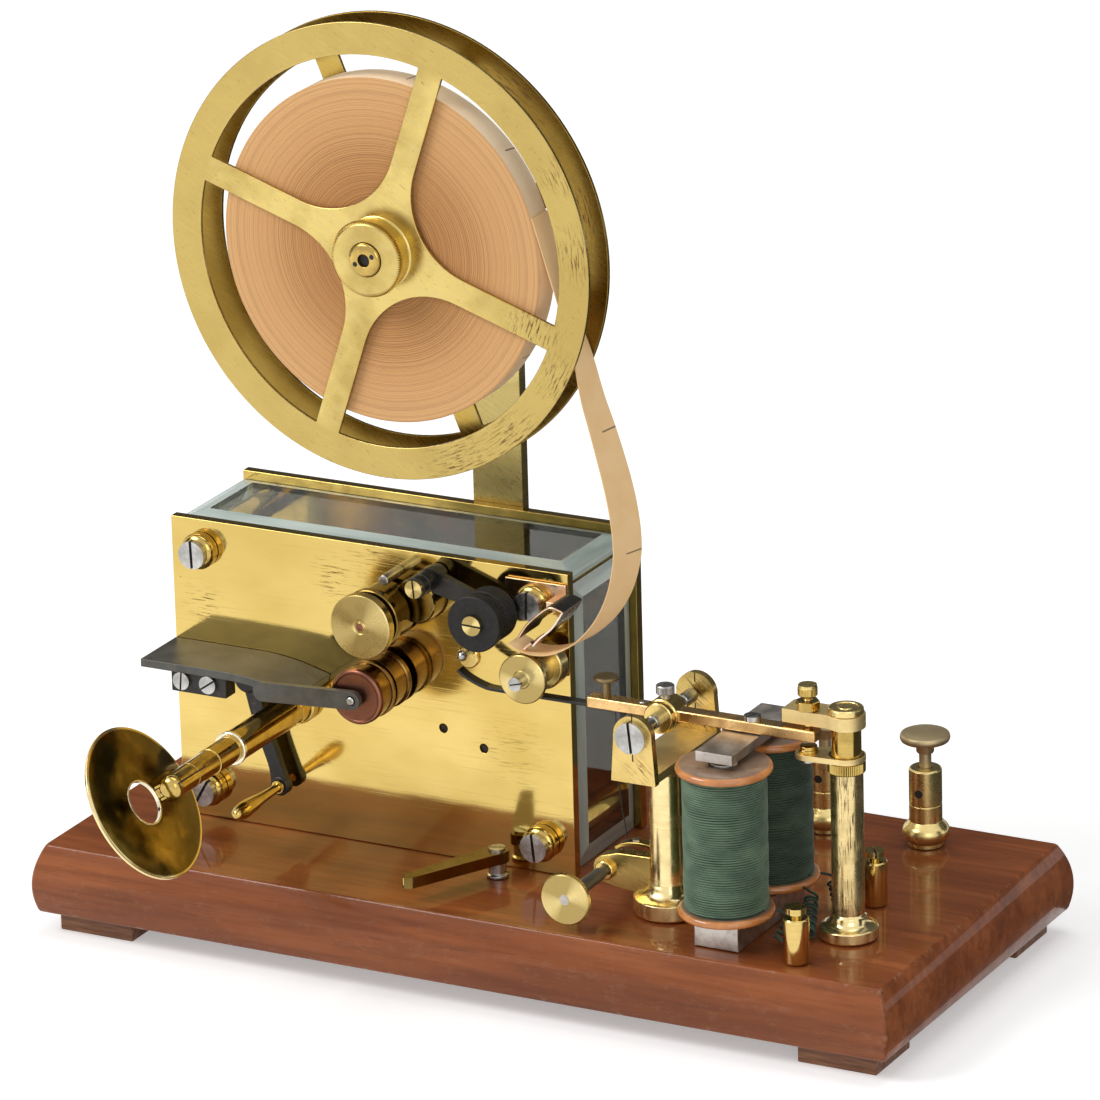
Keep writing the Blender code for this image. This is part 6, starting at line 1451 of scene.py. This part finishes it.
fit("lever", "bright_steel",
    turn("pointed_axle_front", axle, PIVOT, SCREW_STEEL),
    turn("pointed_axle_back", axle, PIVOT, SCREW_STEEL, "back"),
    turn("boss_screw_stem", [(4.6, 2), (0.1, 2)], (PIVOT[0], LEVER_Y, 79.4), SCREW_STEEL, "up"),
    turn("boss_screw_head", head, (PIVOT[0], LEVER_Y, 0), SCREW_STEEL, "up"),
    slotted("keeper_screw", 3, 1.8, (238, LEVER_Y, 76.4), "up", turned=70),
    turn("lever_rivet", [(0.5, 0), (0.3, 1), (0, 1.3), (-0.2, 0)], (195.5, LEVER_Y, 76.5), SCREW_STEEL,
         "up", eased=0))
tip = through([(4.2, 72.9), (0, 72.9), (-18, 72.9), (-36.7, 72.95), (-41.5, 73.55), (-46, 75.1),
               (-49.3, 76.8),
               (-51.2, 78.3)], 5)
fit("lever", "dark_steel", bend_strip("curled_steel_tip", tip, 1.2, 4, (175, LEVER_Y + 2, 0), BLACK_STEEL,
                                      0.3))
print("lever", LEVER_LONG, "mm, rocking at x", PIVOT[0])

# %% [markdown]
# ## Yoke and pillar
# A U-shaped brass yoke on a turned pillar holds the lever's axle between two screws. Its cheeks
# are slit above and below each screw so that they clamp it; each slit is a thin dark bar of
# painted shade on the cheek. A lug on the pillar carries the adjusting screw, which tightens the
# thin return spring.

# %% Yoke
CHEEK_BRASS = reel_brass("cheek_brass", ((2, -12, 7),), (0.74, 0.54, 0.19), (0.56, 0.40, 0.12), lean=40)
CHEEK_FRONT, CHEEK_BACK = -39.5, 11.5
cheek = arc(0, 0, 7.4, -6, 186, 36) + [(-8.5, -16.4), (-8.5, -17.1), (8.5, -17.1), (8.5, -16.4)]
# Each slit is a thin dark bar of painted shade.
slits = [plane_bar(name, (0.45, 0.08, 3.4), (PIVOT[0], y, PIVOT[2] + z), PAINTED_HOLE_SHADE, 0)
         for name, y, z in (("slit_front_top", CHEEK_FRONT, 7), ("slit_front_foot", CHEEK_FRONT, -7.4),
                            ("slit_back_top", 8.5, 5.6), ("slit_back_foot", 8.5, -5.6))]
fit("base", "brass",
    cut_sheet("yoke_cheek_front", [cheek], 3, deep(PIVOT, CHEEK_FRONT + 3), CHEEK_BRASS, 0.35), "yoke",
    cut_sheet("yoke_cheek_back", [cheek], 3, deep(PIVOT, CHEEK_BACK), CHEEK_BRASS, 0.35),
    plane_bar("yoke_floor", (16.4, 45, 3.3), (PIVOT[0], LEVER_Y, 58.5), ROUGH_BRASS),
    *slits)
fit("base", "bright_steel",
    slotted("pivot_screw_front", 5.7, 2.2, deep(PIVOT, CHEEK_FRONT), turned=96, slot=1),
    slotted("pivot_screw_back", 5.7, 2.2, deep(PIVOT, CHEEK_BACK), "back", turned=80, slot=1))
print("yoke", CHEEK_BACK - CHEEK_FRONT, "mm deep")

# %% Pillar and lug
LUG = (181.2, 0, 13)
pillar = [(56.3, 6.9), *bow((56, 7), (53.6, 7), 0.7, 6), (53, 6.9), (52.6, 6.5), (12, 6.7), (11.2, 6.9),
          *bow((11, 7.1), (6.6, 12.2), -1.2), (6.2, 12.8), (1, 12.8), (0.3, 12.3)]
lug = arc(LUG[0], LUG[2], 5.2, 100, 250, 18) + [(186, 6.6), (200, 5.5), (200, 20.2), (186, 19.8)]
collar = [(19, 3.2), (18.6, 3.6), (16.9, 3.6)]
hook = through([(184.6, 21.2), (187, 22.6), (191, 23.6), (196, 23.8), (199.8, 23)])
fit("base", "brass",
    turn("yoke_pillar_shaft", pillar, (PIVOT[0], LEVER_Y, 0), PILLAR_BRASS, "up"), "yoke_pillar",
    cut_sheet("pillar_lug", [lug, circle(LUG[0], LUG[2], 2.2)], 6, (0, LEVER_Y + 3, 0), CHEEK_BRASS, 0.5),
    turn("lug_collar", collar, LUG, BRASS),
    bend_strip("spring_hook", hook, 1.4, 4.4, (0, LEVER_Y + 2.2, 0), OLIVE_BRASS, 0.3))
fit("base", "bright_steel", slotted("spring_hook_screw", 1.6, 1, (192, LEVER_Y, 24.1), "up", turned=50))
print("pillar", pillar[0][0], "mm tall to the yoke's foot")

# %% Adjusting screw and spring
KNOB_KNURL = 0.35
SPRING_X, SPRING_TURNS = 184.9, 9
knob = [(48.5, 8.9), (48.2, 9.2), (48, 9.5, KNOB_KNURL), (46.4, 9.5, KNOB_KNURL), (46.1, 9.1),
        (45.9, 8.8), (45.9, 2)]
rod = [(46, 2.6), (22, 2.4), (21.6, 1.9), (8, 1.9)]
# The knob's brass carries a painted fan of sheen.
knob = turn("adjusting_knob", knob, LUG, SHEEN_PAINTED_BRASS, steps=150, eased=0)
fit("adjuster", "brass", knob, "adjusting_screw")
fit("adjuster", "bright_steel",
    turn("adjusting_rod", rod, LUG, SLATE_STEEL),
    turn("knob_centre", [(48.56, 1.9), (48.4, 2)], LUG, SOFT_IRON, eased=0))
spring = [(SPRING_X, LEVER_Y, 72), (SPRING_X, LEVER_Y, 60)]
for k in range(SPRING_TURNS * 16 + 1):
    angle = 2 * pi * k / 16
    spring.append((SPRING_X + 1.55 * cos(angle), LEVER_Y + 1.55 * sin(angle),
                   57.6 - 11.4 * k / (SPRING_TURNS * 16)))
spring += [(SPRING_X, LEVER_Y, 44.6), (188.2, LEVER_Y, 26), (188.5, LEVER_Y, 24.7)]
coil = draw_wire("return_spring_wire", spring, 0.24, BLACK_STEEL, smooth=True)
fit("base", "old_brass", coil, "return_spring")
print("return spring of", SPRING_TURNS, "turns")

# %% [markdown]
# ## Contact pillar
# The lever's far end plays between two contacts. A tall pillar, its lacquer worn off in upright
# streaks, carries a shelf with the lower stop and a clamped arm with the upper contact screw.

# %% Contact pillar
CONTACT = (271.5, -9.5, 0)
CONTACT_SCREW = (258.5, -12.5, 0)
RING_KNURL = 0.22
stop = (CONTACT_SCREW[0] - CONTACT[0], CONTACT_SCREW[1] - CONTACT[1])
foot = [(59, 5.6), (9.2, 5.6), (8.6, 6.1), *bow((8.4, 6.3), (4.6, 9.9), -1), (4.2, 10.3), (0.9, 10.4),
        (0.3, 10)]
sleeve = [(61.4, 5.4), (61.4, 5.72), (9.3, 5.72), (9.3, 5.4)]
ring = [(77.4, 5.2), (67.4, 5.2), (67.4, 6.2), (65.2, 6.2), (64.9, 6.6, RING_KNURL), (61.6, 6.6, RING_KNURL),
        (61.2, 6.2)]
shelf = bar_outline((0, 0), stop, 6.7, 4.6)
stud = [(70, 2.6), (69.7, 3.1), (68.6, 3.1), (68.4, 3.5), (67.4, 3.5)]
arm = arc(0, 0, 6.8, -90, 90, 28) + [(-5, 5.2), (-22, 5), (-22, -5), (-5, -5.2)]
cap = [(84.9, 2.6), (84.6, 2.8), (84.6, 4.2), (84.9, 4.4), (84.9, 5.7), (84.5, 6.2), (82.6, 6.2)]
fit("base", "brass",
    turn("contact_column_foot", foot, CONTACT, PILLAR_BRASS, "up", eased=0.12), "contact_pillar",
    turn("contact_column_shaft", sleeve, CONTACT, WORN_BRASS, "up", eased=0, hollow=True),
    turn("contact_knurled_ring", ring, CONTACT, OLIVE_BRASS, "up", steps=120, eased=0),
    cut_sheet("lower_stop_shelf", [shelf], 2, (*CONTACT[:2], 65.4), ROUGH_BRASS, 0.4, "up"),
    turn("lower_stop_stud", stud, CONTACT_SCREW, OLIVE_BRASS, "up"),
    turn("lower_stop_tail", [(65.4, 2.8), (64, 2.8), (63.2, 2.2)], CONTACT_SCREW, SCREW_STEEL, "up"),
    cut_sheet("contact_clamp_arm", [arm, circle(*stop, 1.9)], 4.8, (*CONTACT[:2], 77.7), ROUGH_BRASS, 0.6,
              "up"),
    "contact_arm",
    turn("contact_cap", cap, CONTACT, PALE_BRASS, "up"))
print("contact pillar", cap[0][0], "mm tall")

# %% Contact screw
hexagon = [(4.4 * cos(radians(60 * k + 12)), 4.4 * sin(radians(60 * k + 12))) for k in range(6)]
thread = [(88.6, 1.9)]
for k in range(12):
    thread += [(88.2 - k * 0.9, 1.55), (87.8 - k * 0.9, 1.25)]
head = [(91, 3.5, HEAD_KNURL), (88.4, 3.5, HEAD_KNURL), (88, 3.1)]
fit("contact", "brass",
    cut_sheet("contact_lock_nut", [hexagon, circle(0, 0, 1.7)], 3.4, (*CONTACT_SCREW[:2], 82.9),
              OLIVE_BRASS, 0.4,
              "up"),
    turn("contact_thread", thread + [(76.9, 1.3)], CONTACT_SCREW, BRASS, "up", steps=32, eased=0),
    "contact_screw",
    turn("contact_screw_barrel", head, CONTACT_SCREW, OLIVE_BRASS, "up"),
    slotted("contact_screw_slot", 3.3, 1.1, (*CONTACT_SCREW[:2], 90.9), "up", PALE_BRASS, 10))
print("contact screw stands over the lever's end")

# %% [markdown]
# ## Binding posts and terminals
# The line wires came in at two tall binding posts at the back. Their thumb screws have broad
# round heads, brown with handling. Two short posts with slotted screws take the coil's leads.

# %% Binding posts and terminals
POSTS = ((259, 80), (220, 79))
body = [(17.5, 2.5), (29.5, 2.6), (29.5, 5.3), (28.9, 5.9), (16.4, 5.9), (16.2, 5.7), (15.8, 5.7),
        (15.6, 5.9),
        (9.6, 5.9), (8.9, 6.5), *bow((8.4, 7), (2.6, 7.4), 1.4, 10), (1.8, 6.6), (0.3, 6.6)]
screw = [(42.5, 8.2), *bow((42.3, 8.6), (39.8, 8.6), 0.4, 6), (39.5, 8.2), (39.5, 3.6), (38.8, 3.2),
         (35.6, 3.2),
         (35, 2.9), (35, 2.2), (17.8, 2.2)]
mouth = [(5.95, 1.5), (5.3, 1.55)]
for number, (x, y) in enumerate(POSTS, 1):
    # The post's mouth is a dark disc of painted shade.
    fit("base", "brass",
        turn(f"binding_body_{number}", body, (x, y, 0), PALE_BRASS, "up"), f"binding_post_{number}",
        turn(f"binding_mouth_{number}", mouth, (x, y, 21), PAINTED_HOLE_SHADE, steps=32, eased=0))
    thumb = turn(f"thumb_screw_{number}", screw, (x, y, 0), DULL_BRASS, "up")
    fit(f"clamp_{number}", "brass", thumb, f"post_screw_{number}")
body = [(16.8, 4.1), (16.3, 4.6), (1, 4.6), (0.3, 4.2)]
for number, (x, y) in enumerate(TERMINALS, 1):
    fit("base", "brass",
        turn(f"terminal_body_{number}", body, (x, y, 0), BRASS, "up"), f"terminal_{number}",
        turn(f"terminal_neck_{number}", [(18.5, 2), (16.7, 2)], (x, y, 0), OLIVE_BRASS, "up"),
        slotted(f"terminal_screw_{number}", 3.6, 2.2, (x, y, 18.4), "up", BRASS, 25 + 50 * number))
print("posts:", len(POSTS), "terminals:", len(TERMINALS))

# %% [markdown]
# ## Studio
# The picture was taken on white, with broad soft light. The floor and the world are white to
# the camera and to reflections, and light the instrument only softly. Metal needs something
# dark to mirror or it looks flat, so a few dark cards stand around it that only reflections see.


# %% Floor and world
def seen_plainly():
    """1 for what the camera, mirrors and glass see, 0 for the light that falls on things."""
    rays = lay("LightPath", {})
    return most(*(rays[f"Is {kind} Ray"] for kind in ("Camera", "Glossy", "Transmission")))


def white_floor():
    """White paper that also glows for the camera, more so far away."""
    finish = new_finish("white_floor", (0.86, 0.86, 0.86), 0.0, 0.9, Specular_IOR_Level=0.0)
    own = lay("TexCoord", {})["Object"]
    away = lay("VectorMath", {0: own}, operation="LENGTH")["Value"]
    far = lay("MapRange", {"Value": away, "From Min": 0.7, "From Max": 2.2, "To Min": 0.36, "To Max": 0.66})
    glow = lay("Emission", {"Strength": times(seen_plainly(), far["Result"])})["Emission"]
    paper_white = net.nodes["Principled BSDF"].outputs["BSDF"]
    both = lay("AddShader", {0: paper_white, 1: glow})["Shader"]
    net.links.new(both, net.nodes["Material Output"].inputs["Surface"])
    return finish


def flat_sheet(name, cells, size, finish):
    """A square mesh for the studio, which isn't part of the instrument."""
    work = bmesh.new()
    bmesh.ops.create_grid(work, x_segments=cells, y_segments=cells, size=size)
    mesh = mesh_of(name, work)
    mesh.materials.append(finish)
    piece = show(name, mesh)
    piece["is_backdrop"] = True
    return piece


flat_sheet("floor", 8, 12, white_floor())
SOFT_LIGHT = 0.38
world = bpy.data.worlds.new("white_room")
bpy.context.scene.world = world
world.use_nodes = True
net = world.node_tree
room = net.nodes["Background"].inputs
room["Color"].default_value = (1, 1, 1, 1)
level = lay("MapRange", {"Value": seen_plainly(), "To Min": SOFT_LIGHT, "To Max": 1})["Result"]
net.links.new(level, room["Strength"])
print("white room, softly lit at", SOFT_LIGHT)

# %% Lamps and dark cards
AIM = Vector((0, 0, 0.12))


def lamp(name, place, size, power):
    light = bpy.data.lights.new(name, "AREA")
    light.shape = "RECTANGLE"
    light.size, light.size_y = size
    light.energy = power
    piece = show(name, light)
    piece.location = place
    piece.rotation_euler = (AIM - Vector(place)).to_track_quat("-Z", "Y").to_euler()


lamp("key_left", (-1.1, -1.0, 1.5), (1.0, 0.8), 23)
lamp("fill_right", (1.2, -1.3, 0.8), (0.8, 1.0), 4)
lamp("top", (0.1, 0.4, 1.8), (1.2, 0.9), 9)


def direction(azimuth, elevation):
    """A way out from the instrument: azimuth from straight ahead, elevation from level."""
    return Vector((sin(azimuth) * cos(elevation), -cos(azimuth) * cos(elevation), sin(elevation)))


def dark_card(name, size, tone):
    """A card that only reflections see."""
    finish = new_finish(name + "_finish", (tone, tone, tone * 0.95), 0.0, 1.0, Specular_IOR_Level=0.0)
    card = flat_sheet(name, 1, 0.5, finish)
    card.scale = (*size, 1)
    for ray in ("camera", "diffuse", "shadow", "transmission", "volume_scatter"):
        setattr(card, "visible_" + ray, False)
    return card


for word, azimuth, elevation, distance, size, tone in (
    ("left", -72, 8, 1.2, (0.35, 1.1), 0.02),
    ("right", 98, 8, 1.2, (0.4, 1.1), 0.02),
    ("behind", 178, 25, 1.3, (3.2, 1.1), 0.11),
    ("above", 185, 66, 1.5, (2.4, 0.7), 0.15),
):
    card = dark_card("card_" + word, size, tone)
    card.location = direction(radians(azimuth), radians(elevation)) * distance + AIM
    card.rotation_euler = (card.location - AIM).to_track_quat("Z", "Y").to_euler()
dark_card("card_low_behind", (1.8, 1.375), 0.08).location = (0.60, 0.8125, 0.0012)
dark_card("card_low_right", (1.32, 0.175), 0.08).location = (0.835, 0.0375, 0.0012)
print("three lamps and six cards")

# %% [markdown]
# ## Camera
# The photograph was taken from the right and a little above, from well back, so lines stay
# nearly parallel. These numbers come from matching a dozen known places on the instrument with
# the same places in the picture.

# %% Camera
AZIMUTH, ELEVATION, LEAN_LEFT = 0.49250424, 0.33677911, -0.02700109
MOVED_RIGHT, MOVED_UP, MOVED_AWAY = 132.59733631, 94.63540251, 2785.003651
PHOTO_PIXELS, FOCAL_PIXELS, SENSOR = 1100, 7689.597130748699, 36
away = direction(AZIMUTH, ELEVATION)
level_right = Vector((cos(AZIMUTH), sin(AZIMUTH), 0))
level_up = away.cross(level_right)
right = level_right * cos(LEAN_LEFT) + level_up * sin(LEAN_LEFT)
up = level_up * cos(LEAN_LEFT) - level_right * sin(LEAN_LEFT)
place = at(*(right * MOVED_RIGHT + up * MOVED_UP + away * MOVED_AWAY))
camera = show("camera", bpy.data.cameras.new("camera"))
camera.data.sensor_width = SENSOR
camera.data.lens = FOCAL_PIXELS / PHOTO_PIXELS * SENSOR
camera.data.clip_end = 50
camera.matrix_world = Matrix.Translation(place) @ Matrix((right, up, away)).transposed().to_4x4()
bpy.context.scene.camera = camera
bpy.context.scene.view_settings.view_transform = "Standard"
print("lens", round(camera.data.lens, 1), "mm from", round(place.length, 2), "m")

# %% [markdown]
# ## Last look
# The box of the dressed model is printed beside the box of the solids.

# %% Finish
dressed_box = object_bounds()
for axis, a, b, c, d in zip("xyz", cad_box[0], cad_box[1], dressed_box[0], dressed_box[1]):
    print(axis, "solids", round(a, 4), round(b, 4), "dressed", round(c, 4), round(d, 4))
